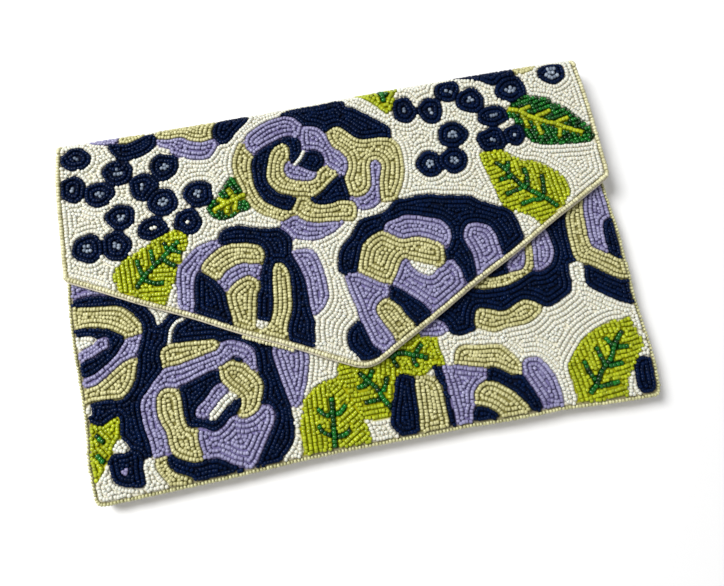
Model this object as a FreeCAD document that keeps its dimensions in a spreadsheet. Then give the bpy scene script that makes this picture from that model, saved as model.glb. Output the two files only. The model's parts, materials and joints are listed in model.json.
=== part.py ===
"""Beaded envelope clutch, modelled lying closed on its back.

Frame: +Z up through the thickness, X across the width, +Y towards the fold that the flap
turns over. The origin is the centre of the footprint, on the underside of the back.
Three groups of pieces: the bag (back, front, seams, lining, lower half of the snap),
the fold (the strip that stands across the mouth) and the flap (with the snap's stud).
"""
import FreeCAD, Part
import math
import os
import Sketcher

doc = FreeCAD.newDocument("clutch")

# ---------------------------------------------------------------- driving dimensions (mm)
DIMENSIONS = {
    "body_width": 254.0,
    "flap_width": 255.6,
    "bag_height": 166.0,
    "corner_r": 3.3,          # rounding of the bag's lower corners
    "mouth_drop": 10.6,       # fold to the front panel's upper edge
    "left_side": 67.2,        # fold to the flap's left shoulder; the hand-cut flap
    "right_side": 62.2,       # is a little shorter on the right
    "flap_depth": 132.8,      # fold to where the flap's two slants would cross
    "tip_r": 10.0,
    "shoulder_r": 1.7,
    "back_cloth_t": 0.66,
    "back_board_t": 1.0,
    "lining_t": 0.42,
    "compartment_gap": 5.4,
    "front_board_t": 0.91,
    "ground_cloth_t": 0.5,    # cloth that carries the beads
    "bead_t": 1.33,           # one layer of seed beads
    "flap_clear": 0.91,       # front beads to flap lining
    "flap_board_t": 0.83,
    "edging_w": 1.5,          # row of beads set crosswise along an edge
    "edging_t": 2.0,
    "lip_w": 0.83,            # thin cord under the flap's edging
    "lip_gap": 0.08,
    "seam_w": 4.2,            # turned seam allowances that close the bag's sides
    "ease": 0.17,             # gap between a panel and the seam beside it
    "panel_stop": 2.8,        # flat panels stop this far short of the fold
    "fold_axis_inset": 1.08,  # bend axis, inside the fold's outer corner
    "fold_end": 2.5,          # standing strip stops this far from both corners
    "fold_half": 126.6,
    "binding_w": 0.91,        # cloth binding along the mouth
    "snap_up": 26.6,          # flap's point to the snap's centre
    "snap_r": 5.8,
    "snap_bore_r": 2.66,
    "snap_cap_t": 1.58,
    "snap_wall": 0.42,
    "snap_base_t": 0.29,
    "snap_ease": 0.08,
    "stud_r": 2.32,
    "stud_length": 1.08,
    "stud_plate_t": 0.5,
    "washer_t": 0.42,
    "prong_x": 2.5,
    "prong_y": 0.42,
    "prong_pitch": 5.8,
    "clearing_r": 6.8,        # bead-free circle round the snap's cap
}

sheet = doc.addObject("Spreadsheet::Sheet", "Dims")
for row, (alias, value) in enumerate(DIMENSIONS.items(), start=1):
    sheet.set("A%d" % row, alias)
    sheet.set("B%d" % row, str(value))
    sheet.setAlias("B%d" % row, alias)
doc.recompute()


class Size:
    """A size as it is now, with the expression that keeps it bound to the sheet."""

    def __init__(self, value, text):
        self.value = value
        self.text = text

    @staticmethod
    def of(other):
        return other if isinstance(other, Size) else Size(float(other), repr(float(other)))

    def _join(self, other, symbol, value):
        return Size(value, "(%s %s %s)" % (self.text, symbol, other.text))

    def __add__(self, other):
        other = Size.of(other)
        return self._join(other, "+", self.value + other.value)

    def __sub__(self, other):
        other = Size.of(other)
        return self._join(other, "-", self.value - other.value)

    def __mul__(self, other):
        other = Size.of(other)
        return self._join(other, "*", self.value * other.value)

    def __truediv__(self, other):
        other = Size.of(other)
        return self._join(other, "/", self.value / other.value)

    def __neg__(self):
        return Size.of(0.0) - self

    def root(self):
        return Size(math.sqrt(self.value), "sqrt(%s)" % self.text)


def dim(alias):
    return Size(DIMENSIONS[alias], "Dims." + alias)


def bind(obj, prop, size):
    obj.setExpression(prop, Size.of(size).text)


# ---------------------------------------------------------------- derived sizes
top = dim("bag_height") / 2
bottom = -top
half_body = dim("body_width") / 2
half_flap = dim("flap_width") / 2
panel_top = top - dim("panel_stop")
mouth = top - dim("mouth_drop")
tip = top - dim("flap_depth")
left_shoulder = top - dim("left_side")
right_shoulder = top - dim("right_side")
snap_y = tip + dim("snap_up")

# Levels, from the back's underside to the top of the flap's beads.
z_back_board = dim("back_cloth_t")
z_back_lining = z_back_board + dim("back_board_t")
z_floor = z_back_lining + dim("lining_t")
z_front_lining = z_floor + dim("compartment_gap")
z_front_board = z_front_lining + dim("lining_t")
z_front_cloth = z_front_board + dim("front_board_t")
z_front_beads = z_front_cloth + dim("ground_cloth_t")
z_flap_lining = z_front_beads + dim("bead_t") + dim("flap_clear")
z_flap_board = z_flap_lining + dim("lining_t")
z_flap_cloth = z_flap_board + dim("flap_board_t")
z_flap_beads = z_flap_cloth + dim("ground_cloth_t")
z_top = z_flap_beads + dim("bead_t")

nodes = {}


# ---------------------------------------------------------------- helpers
def origin_plane(body, role):
    return next(f for f in body.Origin.OriginFeatures if f.Role == role)


def new_body(label, z):
    body = doc.addObject("PartDesign::Body", label)
    body.Label = label
    bind(body, ".Placement.Base.z", z)
    nodes[label] = body
    return body


def new_sketch(body, name):
    sketch = body.newObject("Sketcher::SketchObject", body.Label + "_" + name)
    sketch.AttachmentSupport = (origin_plane(body, "XY_Plane"), [""])
    sketch.MapMode = "FlatFace"
    return sketch


def place_point(sketch, geo, pos, corner):
    """Fix one sketch point at a corner given as two sizes."""
    for kind, axis, size in (("DistanceX", -2, corner[0]), ("DistanceY", -1, corner[1])):
        size = Size.of(size)
        if abs(size.value) < 1e-9:
            sketch.addConstraint(Sketcher.Constraint("PointOnObject", geo, pos, axis))
            continue
        if size.value > 0:
            made = Sketcher.Constraint(kind, -1, 1, geo, pos, size.value)
        else:
            size = -size
            made = Sketcher.Constraint(kind, geo, pos, -1, 1, size.value)
        index = sketch.addConstraint(made)
        sketch.setExpression("Constraints[%d]" % index, size.text)


def draw_polygon(sketch, corners):
    """Closed polygon whose corners are bound to the sheet."""
    points = [FreeCAD.Vector(Size.of(x).value, Size.of(y).value, 0) for x, y in corners]
    first = sketch.GeometryCount
    count = len(points)
    for i, point in enumerate(points):
        sketch.addGeometry(Part.LineSegment(point, points[(i + 1) % count]), False)
    for i in range(count):
        after = first + (i + 1) % count
        sketch.addConstraint(Sketcher.Constraint("Coincident", first + i, 2, after, 1))
        place_point(sketch, first + i, 1, corners[i])


def draw_circle(sketch, radius, y):
    circle = Part.Circle(FreeCAD.Vector(0, y.value, 0), FreeCAD.Vector(0, 0, 1), radius.value)
    geo = sketch.addGeometry(circle, False)
    place_point(sketch, geo, 3, (0, y))
    index = sketch.addConstraint(Sketcher.Constraint("Radius", geo, radius.value))
    sketch.setExpression("Constraints[%d]" % index, radius.text)


def pad(body, sketch, thickness):
    feature = body.newObject("PartDesign::Pad", body.Label + "_pad")
    feature.Profile = sketch
    bind(feature, "Length", thickness)
    doc.recompute()
    return feature


def pocket(body, name, draw, depth):
    """Cut upwards from the body's own base plane and check that material went."""
    before = body.Shape.Volume
    sketch = new_sketch(body, name)
    draw(sketch)
    feature = body.newObject("PartDesign::Pocket", body.Label + "_" + name + "_cut")
    feature.Profile = sketch
    feature.Reversed = True
    bind(feature, "Length", depth)
    doc.recompute()
    if not body.Shape.Volume < before - 1e-6:
        raise RuntimeError("pocket %s cuts nothing" % feature.Name)
    return feature


def round_corners(body, corners):
    """Fillet the upright edges that stand on the given corners, each with its radius."""
    for number, (x, y, radius) in enumerate(corners):
        base = body.Tip
        names = []
        for i, edge in enumerate(base.Shape.Edges, start=1):
            ends = [v.Point for v in edge.Vertexes]
            near = [math.hypot(p.x - Size.of(x).value, p.y - Size.of(y).value) < 1e-3
                    for p in ends]
            if len(ends) == 2 and all(near):
                names.append("Edge%d" % i)
        if not names:
            raise RuntimeError("%s has no edge at corner %d" % (body.Label, number))
        fillet = body.newObject("PartDesign::Fillet", "%s_round%d" % (body.Label, number))
        fillet.Base = (base, names)
        bind(fillet, "Radius", radius)
        doc.recompute()


def flap_corners(inset, upper):
    """Flap outline, moved inwards by inset, from the left shoulder anticlockwise."""
    inset = Size.of(inset)
    half = half_flap - inset
    corners = []
    for shoulder in (left_shoulder, right_shoulder):
        slope = (shoulder - tip) / half_flap
        secant = (slope * slope + 1).root()
        corners.append(shoulder + inset * (secant - slope))
    slopes = [(s - tip) / half_flap for s in (left_shoulder, right_shoulder)]
    secants = [(s * s + 1).root() for s in slopes]
    # The two moved slants cross a little off centre, because their slopes differ.
    tip_x = inset * (secants[0] - secants[1]) / (slopes[0] + slopes[1])
    tip_y = tip + inset * secants[0] - slopes[0] * tip_x
    if inset.value == 0.0:
        tip_x, tip_y = Size.of(0.0), tip
    return [(-half, upper), (-half, corners[0]), (tip_x, tip_y), (half, corners[1]),
            (half, upper)]


def flap_plate(label, z, thickness, inset):
    body = new_body(label, z)
    sketch = new_sketch(body, "outline")
    corners = flap_corners(inset, panel_top)
    draw_polygon(sketch, corners)
    pad(body, sketch, thickness)
    round_corners(body, [corners[2] + (dim("tip_r"),),
                         corners[1] + (dim("shoulder_r"),),
                         corners[3] + (dim("shoulder_r"),)])
    return body


def flap_band(label, z, thickness, outer_inset, width):
    """Strip along both side edges and both slants, open at the fold."""
    body = new_body(label, z)
    outer = flap_corners(outer_inset, panel_top)
    inner = flap_corners(Size.of(outer_inset) + width, panel_top)
    sketch = new_sketch(body, "outline")
    draw_polygon(sketch, outer + inner[::-1])
    pad(body, sketch, thickness)
    round_corners(body, [outer[2] + (dim("tip_r"),),
                         inner[2] + (dim("tip_r") - width,)])
    return body


def bag_plate(label, z, thickness, inset, lower, upper, rounded):
    """Rectangular panel; its lower corners are rounded where it reaches the outline."""
    body = new_body(label, z)
    half = half_body - inset
    sketch = new_sketch(body, "outline")
    draw_polygon(sketch, [(-half, lower), (half, lower), (half, upper), (-half, upper)])
    pad(body, sketch, thickness)
    if rounded:
        radius = dim("corner_r") - inset
        round_corners(body, [(-half, lower, radius), (half, lower, radius)])
    return body


def strip(label, size, corner):
    """Plain bar as a primitive box."""
    box = doc.addObject("Part::Box", label)
    box.Label = label
    for prop, value in zip(("Length", "Width", "Height"), size):
        bind(box, prop, value)
    for prop, value in zip("xyz", corner):
        bind(box, ".Placement.Base." + prop, value)
    nodes[label] = box
    return box


def disc(name, radius, height, z):
    cylinder = doc.addObject("Part::Cylinder", name)
    bind(cylinder, "Radius", radius)
    bind(cylinder, "Height", height)
    bind(cylinder, ".Placement.Base.y", snap_y)
    bind(cylinder, ".Placement.Base.z", z)
    return cylinder


def prong_boxes(name, ease, z, height):
    """Two upright tabs (or the slits that take them) either side of the snap's centre."""
    made = []
    for side in (-1, 1):
        box = doc.addObject("Part::Box", "%s_%s" % (name, "near" if side < 0 else "far"))
        wide = dim("prong_x") + Size.of(ease) * 2
        deep = dim("prong_y") + Size.of(ease) * 2
        bind(box, "Length", wide)
        bind(box, "Width", deep)
        bind(box, "Height", height)
        bind(box, ".Placement.Base.x", -(wide / 2))
        bind(box, ".Placement.Base.y", snap_y + dim("prong_pitch") / 2 * side - deep / 2)
        bind(box, ".Placement.Base.z", z)
        made.append(box)
    return made


def combine(label, kind, first, others):
    """Cut or fuse primitives, one after another, into one node."""
    result = first
    for number, other in enumerate(others):
        step = doc.addObject("Part::" + kind, "%s_%s%d" % (label, kind.lower(), number))
        step.Base = result
        step.Tool = other
        result = step
    result.Label = label
    nodes[label] = result
    return result


def draw_slits(sketch):
    """The two slits that the snap's prongs pass through."""
    half_x = dim("prong_x") / 2 + dim("snap_ease")
    half_y = dim("prong_y") / 2 + dim("snap_ease")
    for side in (-1, 1):
        y = snap_y + dim("prong_pitch") / 2 * side
        draw_polygon(sketch, [(-half_x, y - half_y), (half_x, y - half_y),
                              (half_x, y + half_y), (-half_x, y + half_y)])


# ---------------------------------------------------------------- bag: back and seams
inner_inset = dim("seam_w") + dim("ease")
inner_bottom = bottom + inner_inset

bag_plate("back_cloth", 0, dim("back_cloth_t"), 0, bottom, panel_top, True)
bag_plate("back_board", z_back_board, dim("back_board_t"), inner_inset, inner_bottom,
          panel_top, False)
bag_plate("back_lining", z_back_lining, dim("lining_t"), inner_inset, inner_bottom,
          panel_top, False)

# The seam allowances of back and front, turned in and stitched, close three sides.
seam_height = z_front_lining + dim("lining_t") - dim("back_cloth_t")
side_length = mouth - bottom - dim("seam_w")
strip("left_seam", (dim("seam_w"), side_length, seam_height),
      (-half_body, bottom + dim("seam_w"), z_back_board))
strip("right_seam", (dim("seam_w"), side_length, seam_height),
      (half_body - dim("seam_w"), bottom + dim("seam_w"), z_back_board))
bottom_seam = new_body("bottom_seam", z_back_board)
seam_sketch = new_sketch(bottom_seam, "outline")
seam_upper = bottom + dim("seam_w")
draw_polygon(seam_sketch, [(-half_body, bottom), (half_body, bottom),
                           (half_body, seam_upper), (-half_body, seam_upper)])
pad(bottom_seam, seam_sketch, seam_height)
round_corners(bottom_seam, [(-half_body, bottom, dim("corner_r")),
                            (half_body, bottom, dim("corner_r"))])

# ---------------------------------------------------------------- bag: front panel
cloth_inset = dim("edging_w") + dim("lip_gap")
cloth_bottom = bottom + cloth_inset

bag_plate("front_lining", z_front_lining, dim("lining_t"), inner_inset, inner_bottom,
          mouth, False)
front_board = bag_plate("front_board", z_front_board, dim("front_board_t"), inner_inset,
                        inner_bottom, mouth, False)
pocket(front_board, "slits", draw_slits, dim("front_board_t"))
pocket(front_board, "washer_seat",
       lambda s: draw_circle(s, dim("snap_r") + dim("snap_ease"), snap_y),
       dim("washer_t") + dim("snap_ease"))
front_cloth = bag_plate("front_cloth", z_front_cloth, dim("ground_cloth_t"), cloth_inset,
                        cloth_bottom, mouth, True)
pocket(front_cloth, "slits", draw_slits, dim("ground_cloth_t"))
front_beadwork = bag_plate("front_beadwork", z_front_beads, dim("bead_t"), cloth_inset,
                           cloth_bottom, mouth, True)
pocket(front_beadwork, "clearing", lambda s: draw_circle(s, dim("clearing_r"), snap_y),
       dim("bead_t"))

# One row of beads set crosswise runs up both sides and along the bottom.
edging_top = z_front_beads + dim("bead_t") - 0.17
z_body_edging = z_front_lining + dim("lining_t") + dim("lip_gap")
body_edging = new_body("body_edging", z_body_edging)
edging_sketch = new_sketch(body_edging, "outline")
edging_inner = half_body - dim("edging_w")
edging_lower = bottom + dim("edging_w")
draw_polygon(edging_sketch, [
    (-half_body, mouth), (-half_body, bottom), (half_body, bottom), (half_body, mouth),
    (edging_inner, mouth), (edging_inner, edging_lower), (-edging_inner, edging_lower),
    (-edging_inner, mouth)])
pad(body_edging, edging_sketch, edging_top - z_body_edging)
inner_r = dim("corner_r") - dim("edging_w")
round_corners(body_edging, [
    (-half_body, bottom, dim("corner_r")), (half_body, bottom, dim("corner_r")),
    (-edging_inner, edging_lower, inner_r), (edging_inner, edging_lower, inner_r)])

strip("mouth_binding",
      (half_body * 2, dim("binding_w"), edging_top - z_front_lining),
      (-half_body, mouth + dim("lip_gap"), z_front_lining))

# ---------------------------------------------------------------- bag: snap, lower half
prong_down = z_front_beads - z_front_board - dim("lip_gap")
base_disc = disc("socket_base_disc", dim("snap_r") - dim("snap_wall") - dim("snap_ease"),
                 dim("snap_base_t"), z_front_beads)
combine("socket_base", "Fuse", base_disc,
        prong_boxes("socket_prong", 0, z_front_beads - prong_down,
                    prong_down + dim("snap_base_t") / 2))

cap_body = disc("socket_cap_blank", dim("snap_r"), dim("snap_cap_t"), z_front_beads)
cap_bore = disc("socket_cap_bore", dim("snap_bore_r"), dim("snap_cap_t") * 2, z_front_beads)
cap_hollow = disc("socket_cap_hollow", dim("snap_r") - dim("snap_wall"),
                  dim("snap_cap_t") - dim("snap_wall"), z_front_beads)
combine("socket_cap", "Cut", cap_body, [cap_hollow, cap_bore])

z_magnet = z_front_beads + dim("snap_base_t") + dim("snap_ease") / 2
magnet_t = dim("snap_cap_t") - dim("snap_wall") - dim("snap_base_t") - dim("snap_ease")
magnet_blank = disc("socket_magnet_blank",
                    dim("snap_r") - dim("snap_wall") - dim("snap_ease"), magnet_t, z_magnet)
magnet_bore = disc("socket_magnet_bore", dim("snap_bore_r") + dim("snap_ease"),
                   magnet_t * 2, z_magnet)
combine("socket_magnet", "Cut", magnet_blank, [magnet_bore])

socket_washer = disc("socket_washer_blank", dim("snap_r"), dim("washer_t"),
                     z_front_board + dim("snap_ease") / 2)
combine("socket_washer", "Cut", socket_washer,
        prong_boxes("socket_washer_slit", dim("snap_ease"), z_front_board, dim("washer_t") * 2))

# ---------------------------------------------------------------- fold
fold_height = z_top - dim("fold_end") * 2
fold_width = dim("fold_half") * 2
fold_layers = (("fold_beadwork", dim("bead_t"), top),
               ("fold_cloth", dim("ground_cloth_t"), top - dim("bead_t")),
               ("fold_lining", dim("lining_t"),
                top - dim("bead_t") - dim("ground_cloth_t")))
for label, thickness, outer_face in fold_layers:
    strip(label, (fold_width, thickness, fold_height),
          (-dim("fold_half"), outer_face - thickness, dim("fold_end")))

# ---------------------------------------------------------------- flap
flap_inset = dim("edging_w") + dim("lip_gap")
flap_lining = flap_plate("flap_lining", z_flap_lining, dim("lining_t"), flap_inset)
pocket(flap_lining, "slits", draw_slits, dim("lining_t"))
flap_board = flap_plate("flap_board", z_flap_board, dim("flap_board_t"), flap_inset * 2)
pocket(flap_board, "slits", draw_slits, dim("flap_board_t"))
flap_plate("flap_cloth", z_flap_cloth, dim("ground_cloth_t"), flap_inset)
flap_plate("flap_beadwork", z_flap_beads, dim("bead_t"), flap_inset)
z_flap_edging = z_top - 0.17 - dim("edging_t")
flap_band("flap_edging", z_flap_edging, dim("edging_t"), 0, dim("edging_w"))
flap_band("flap_lip", z_flap_lining, z_flap_edging - z_flap_lining - dim("lip_gap"),
          0.33, dim("lip_w"))

# ---------------------------------------------------------------- flap: snap, upper half
stud_plate = disc("stud_plate", dim("snap_r"), dim("stud_plate_t"),
                  z_flap_lining - dim("stud_plate_t"))
stud_boss = disc("stud_boss", dim("stud_r"), dim("stud_length") + dim("stud_plate_t") / 2,
                 z_flap_lining - dim("stud_plate_t") - dim("stud_length"))
prong_up = dim("lining_t") + dim("flap_board_t") - dim("lip_gap")
combine("snap_stud", "Fuse", stud_plate,
        [stud_boss] + prong_boxes("stud_prong", 0, z_flap_lining - dim("stud_plate_t") / 2,
                                  prong_up + dim("stud_plate_t") / 2))

# The washer lies in a seat in the top of the flap's board, under the cloth.
seat_depth = dim("washer_t") + dim("snap_ease")
before = flap_board.Shape.Volume
seat_sketch = new_sketch(flap_board, "washer_seat")
bind(seat_sketch, ".AttachmentOffset.Base.z", dim("flap_board_t"))
draw_circle(seat_sketch, dim("snap_r") + dim("snap_ease"), snap_y)
seat = flap_board.newObject("PartDesign::Pocket", "flap_board_washer_seat_cut")
seat.Profile = seat_sketch
bind(seat, "Length", seat_depth)
doc.recompute()
if not flap_board.Shape.Volume < before - 1e-6:
    raise RuntimeError("the flap board's washer seat cuts nothing")

z_stud_washer = z_flap_cloth - dim("washer_t") - dim("snap_ease") / 2
stud_washer = disc("stud_washer_blank", dim("snap_r"), dim("washer_t"), z_stud_washer)
combine("stud_washer", "Cut", stud_washer,
        prong_boxes("stud_washer_slit", dim("snap_ease"),
                    z_stud_washer - dim("washer_t") / 2, dim("washer_t") * 2))

# ---------------------------------------------------------------- check and write
doc.recompute()
for obj in doc.Objects:
    if "Invalid" in obj.State or "Error" in obj.State:
        raise RuntimeError("%s did not compute: %s" % (obj.Name, obj.State))

os.makedirs("parts", exist_ok=True)
for label, obj in nodes.items():
    shape = obj.Shape
    if shape.isNull() or not shape.isValid() or len(shape.Solids) != 1:
        raise RuntimeError("%s is not one valid solid" % label)
    shape.exportStep("parts/%s.step" % label)
    box = shape.BoundBox
    print("%-16s x %8.2f %8.2f  y %8.2f %8.2f  z %6.2f %6.2f  %9.1f mm3" % (
        label, box.XMin, box.XMax, box.YMin, box.YMax, box.ZMin, box.ZMax, shape.Volume))
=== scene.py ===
"""Beaded envelope clutch: the looks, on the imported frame. It is drawn in units of 0.83 mm."""
import json
import math
import bpy
import numpy as np
from mathutils import Matrix, Vector

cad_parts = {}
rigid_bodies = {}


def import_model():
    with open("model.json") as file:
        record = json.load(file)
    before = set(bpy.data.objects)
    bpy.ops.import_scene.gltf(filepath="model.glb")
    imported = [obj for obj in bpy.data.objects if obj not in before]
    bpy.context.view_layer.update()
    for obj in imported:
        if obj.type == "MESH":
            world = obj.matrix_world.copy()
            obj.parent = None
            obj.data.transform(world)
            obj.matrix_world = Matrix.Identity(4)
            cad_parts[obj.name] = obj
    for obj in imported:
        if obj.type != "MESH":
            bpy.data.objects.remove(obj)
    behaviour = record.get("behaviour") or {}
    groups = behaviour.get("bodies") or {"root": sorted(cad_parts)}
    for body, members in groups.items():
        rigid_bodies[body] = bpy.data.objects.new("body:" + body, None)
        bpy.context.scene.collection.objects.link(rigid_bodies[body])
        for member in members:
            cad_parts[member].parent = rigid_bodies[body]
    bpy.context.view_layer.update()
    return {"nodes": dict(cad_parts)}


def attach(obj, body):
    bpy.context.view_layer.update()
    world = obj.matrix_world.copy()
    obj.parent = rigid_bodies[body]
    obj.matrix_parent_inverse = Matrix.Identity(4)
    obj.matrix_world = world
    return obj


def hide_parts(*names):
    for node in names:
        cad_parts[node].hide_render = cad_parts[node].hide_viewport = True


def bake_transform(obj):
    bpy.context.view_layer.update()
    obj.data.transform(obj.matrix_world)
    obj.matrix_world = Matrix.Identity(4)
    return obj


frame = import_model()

UNIT = 0.00083          # metres in one unit of the drawing
rng = np.random.default_rng(11)

# ---------------------------------------------------------------- the soft shape
HINGE_IN = 6.0          # radius of the soft fold's corners, over the beads
BEAD_HIGH = 1.6         # thickness of the beadwork there
FLAT_END = 94.0         # where the flap and the back start to round into the fold
ARC = HINGE_IN * math.pi / 2
SPINE = 5.6             # straight stretch between the fold's two corners
LOW_ARC = FLAT_END + ARC + SPINE    # where the lower corner starts, along the cloth
MOUTH = 87.2            # the front's upper edge
BODY_LOW = -99.8        # the front's lower edge, before its bow
TIP_Y = -58.4           # the flap's point, before it is rounded
LEFT_SHOULDER, RIGHT_SHOULDER = 19.0, 25.0      # where the flap's sides turn towards the point
SHOULDER = 6.0          # how far above these corners the sides are still straight
SNAP_Y, SNAP_ROOM = -28.0, 8.4  # the snap's middle, and how far round it there are no beads
WAVY = .35              # how far the flap's slanting edges wander
FLAP_Z, FRONT_Z = 16.0, 11.2    # heights of the two ground cloths


def unit(v):
    return v / np.maximum(np.linalg.norm(v, axis=-1, keepdims=True), 1e-9)


def along(path):
    """How far along a path each of its points is."""
    return np.r_[0, np.cumsum(np.linalg.norm(np.diff(path, axis=0), axis=1))]


def bow(y):
    """How much of the bottom edge's bow a row at y takes up."""
    return np.clip((-60 - y) / 40, 0, 1) ** 2


def bulge(y):
    """0 at the ends of a side, 1 in the middle."""
    return np.sin(np.pi * np.clip((np.asarray(y, float) + 100) / 190, 0, 1))


def hump(v, middle, width):
    """1 in the middle, and near 0 two widths away."""
    return np.exp(-((np.asarray(v, float) - middle) / width) ** 2)


def body_left(y):
    return -151.6 - 2.2 * bulge(y) - 2.4 * hump(y, 0, 38) - 1.6 * hump(y, -80, 11)


def body_right(y):
    return 151.6 + 2.0 * bulge(y) + 2.5 * hump(y, -80, 24) + 1.1 * hump(y, -9, 13) + .8 * hump(y, -31, 8)


def body_bottom(x):
    x = np.asarray(x, float)
    arch = 2.4 * np.clip(1 - (x / 150) ** 2, 0, 1)
    return -100.7 + arch - 1.9 / (1 + np.exp((x + 58) / 12)) + .9 * hump(x, 100, 14) + .5 * hump(x, 46, 8)


def flap_left(y):
    t = np.clip((100 - np.asarray(y, float)) / 40, 0, 1)
    return -151.7 - 3.2 * t * (2 - t)


def flap_right(y):
    t = np.clip((100 - np.asarray(y, float)) / 40, 0, 1)
    return 152.8 + 2.5 * t * (2 - t)


def lean(v):
    """The fold isn't quite square to the sides: it wanders by a couple of units along its length."""
    v = np.array(v, float)
    k = np.clip((v[:, 1] - 84) / 14, 0, 1)
    x = v[:, 0]
    v[:, 1] += 1.5 * np.tanh((x - 15) / 60) * (1 - .6 * np.clip(x / 158, -1, 1) ** 8) * k * k * (3 - 2 * k)
    return v


def front_top(x, y):
    """Height of the front's ground cloth, crowned in the middle and falling to its edges."""
    side = np.minimum(np.minimum(x - body_left(y), body_right(y) - x), y - body_bottom(x))
    e = np.clip(side / 16, 0, 1)
    soft = 0.22 * np.sin(x / 27 + 0.6) * np.sin(y / 23 + x / 61)
    return FRONT_Z - 1.9 * (1 - e) ** 2 + soft * e


def flap_top(x, y):
    """Height of the flap's ground cloth. It droops a little towards its tip and corners."""
    y = np.asarray(y, float)
    down = np.clip((40 - y) / 100, 0, 1) ** 2 * 0.45
    up = np.clip((y - 60) / 34, 0, 1)
    soft = 0.24 * np.sin(x / 31 + 1.1) * np.cos(y / 26 - x / 83)
    lift = 0.30 * np.exp(-((x + 52) / 26) ** 2 - ((y + 30) / 14) ** 2)
    return FLAP_Z - down + soft * (1 - up * up) + lift


def rise(top, x, y):
    """Height and upward direction of a surface."""
    z = top(x, y)
    dx, dy = (top(x + .5, y) - z) / .5, (top(x, y + .5) - z) / .5
    return z, np.stack([-dx, -dy, np.ones_like(dx)], -1)


def on_front(x, y):
    """Point and normal on the front's cloth."""
    z, n = rise(front_top, x, y)
    return np.stack([x, y, z], -1), unit(n)


def on_flap(x, s):
    """Point and normal on the flap's cloth. Past FLAT_END, s runs on round the fold to the back."""
    x, s = np.asarray(x, float), np.asarray(s, float)
    r = HINGE_IN - BEAD_HIGH
    a = np.clip((s - FLAT_END) / HINGE_IN, 0, math.pi / 2)
    b = np.clip((s - LOW_ARC) / HINGE_IN, 0, math.pi / 2)
    straight = np.clip(s - FLAT_END - ARC, 0, SPINE)
    back = np.clip(s - LOW_ARC - ARC, 0, None)
    y = np.minimum(s, FLAT_END) + r * np.sin(a) - r * (1 - np.cos(b)) - back
    z = FLAP_Z - r * (1 - np.cos(a)) - straight - r * np.sin(b)
    n = np.stack([0 * y, np.sin(a) * np.cos(b), np.cos(a) * np.cos(b) - np.sin(b)], -1)
    flat = s <= FLAT_END
    z_flat, n_flat = rise(flap_top, x, s)
    z = np.where(flat, z_flat, z)
    n = np.where(flat[..., None], n_flat, n)
    return np.stack([x, y, z], -1), unit(n)


# ---------------------------------------------------------------- outlines in plan
def rounded(points, radius, steps=5):
    """A closed run of corners, each rounded by its radius with steps + 1 points."""
    out, n = [], len(points)
    for i in range(n):
        a, b, c = (np.array(points[(i + k) % n], float) for k in (-1, 0, 1))
        before, after = np.linalg.norm(a - b), np.linalg.norm(c - b)
        u, v = (a - b) / before, (c - b) / after
        half = math.acos(np.clip(u @ v, -1, 1)) / 2
        cut = min(radius[i] / math.tan(half), .45 * min(before, after))
        p, q = b + u * cut, b + v * cut
        for k in range(steps + 1):
            t = k / steps
            out.append((1 - t) ** 2 * p + 2 * t * (1 - t) * b + t * t * q)
    return np.array(out)


def dense(path, step):
    """A closed path at even steps."""
    loop = np.vstack([path, path[:1]])
    length = along(loop)
    n = max(3, round(length[-1] / step))
    at = np.arange(n) * length[-1] / n
    return np.stack([np.interp(at, length, loop[:, k]) for k in (0, 1)], -1)


def front_outline(inset=0.0, top=MOUTH):
    ys = np.linspace(top, -97, 24)
    xs = np.linspace(-148, 148, 31)
    left = np.stack([body_left(ys) + inset, ys], -1)
    right = np.stack([body_right(ys) - inset, ys], -1)[::-1]
    low = np.stack([xs, body_bottom(xs) + inset], -1)
    corner_l = (body_left(-100) + inset, body_bottom(-151) + inset)
    corner_r = (body_right(-100) - inset, body_bottom(151) + inset)
    bend_l = rounded([left[-2], corner_l, low[2]], [0, max(1.5, 6 - inset), 0])
    bend_r = rounded([low[-3], corner_r, right[1]], [0, max(2, 8.5 - inset), 0])
    return np.vstack([left[:-2], bend_l[6:12], low[1:-1], bend_r[6:12], right[2:]])


def flap_outline(inset=0.0, top=FLAT_END):
    """Left side down, the point, right side up. top is where it stops, along the cloth."""
    ys = np.linspace(top, LEFT_SHOULDER + SHOULDER, 20)
    left = np.stack([flap_left(ys) + inset, ys], -1)
    ys = np.linspace(RIGHT_SHOULDER + SHOULDER, top, 20)
    right = np.stack([flap_right(ys) - inset, ys], -1)
    tip = (0.2, TIP_Y - 1 + 1.12 * inset)
    corner_l = (-154.9 + inset, LEFT_SHOULDER - 0.6 + .62 * inset)
    corner_r = (155.3 - inset, RIGHT_SHOULDER - 0.6 + .6 * inset)
    bend = rounded([left[-1], corner_l, tip, corner_r, right[0]], [0, 4, 18, 4, 0], 6)
    path = [bend[7:14]]
    for i in (13, 20):      # the last point of the left corner's bend, then of the tip's
        a, b = bend[i], bend[i + 1]
        t = np.linspace(0, 1, 26)[1:-1, None]
        side = np.array([a[1] - b[1], b[0] - a[0]]) / np.linalg.norm(b - a)
        path += [a + (b - a) * t + side * WAVY * np.sin(t * 17 + i) * np.sin(t * math.pi), bend[i + 1:i + 8]]
    return np.vstack([left, *path, right])


# ---------------------------------------------------------------- the artwork
# I ivory ground, N navy, L lavender, K khaki, G lime green, E emerald, W white, B blue-grey
GLASS = "INLKGEWB"


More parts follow.
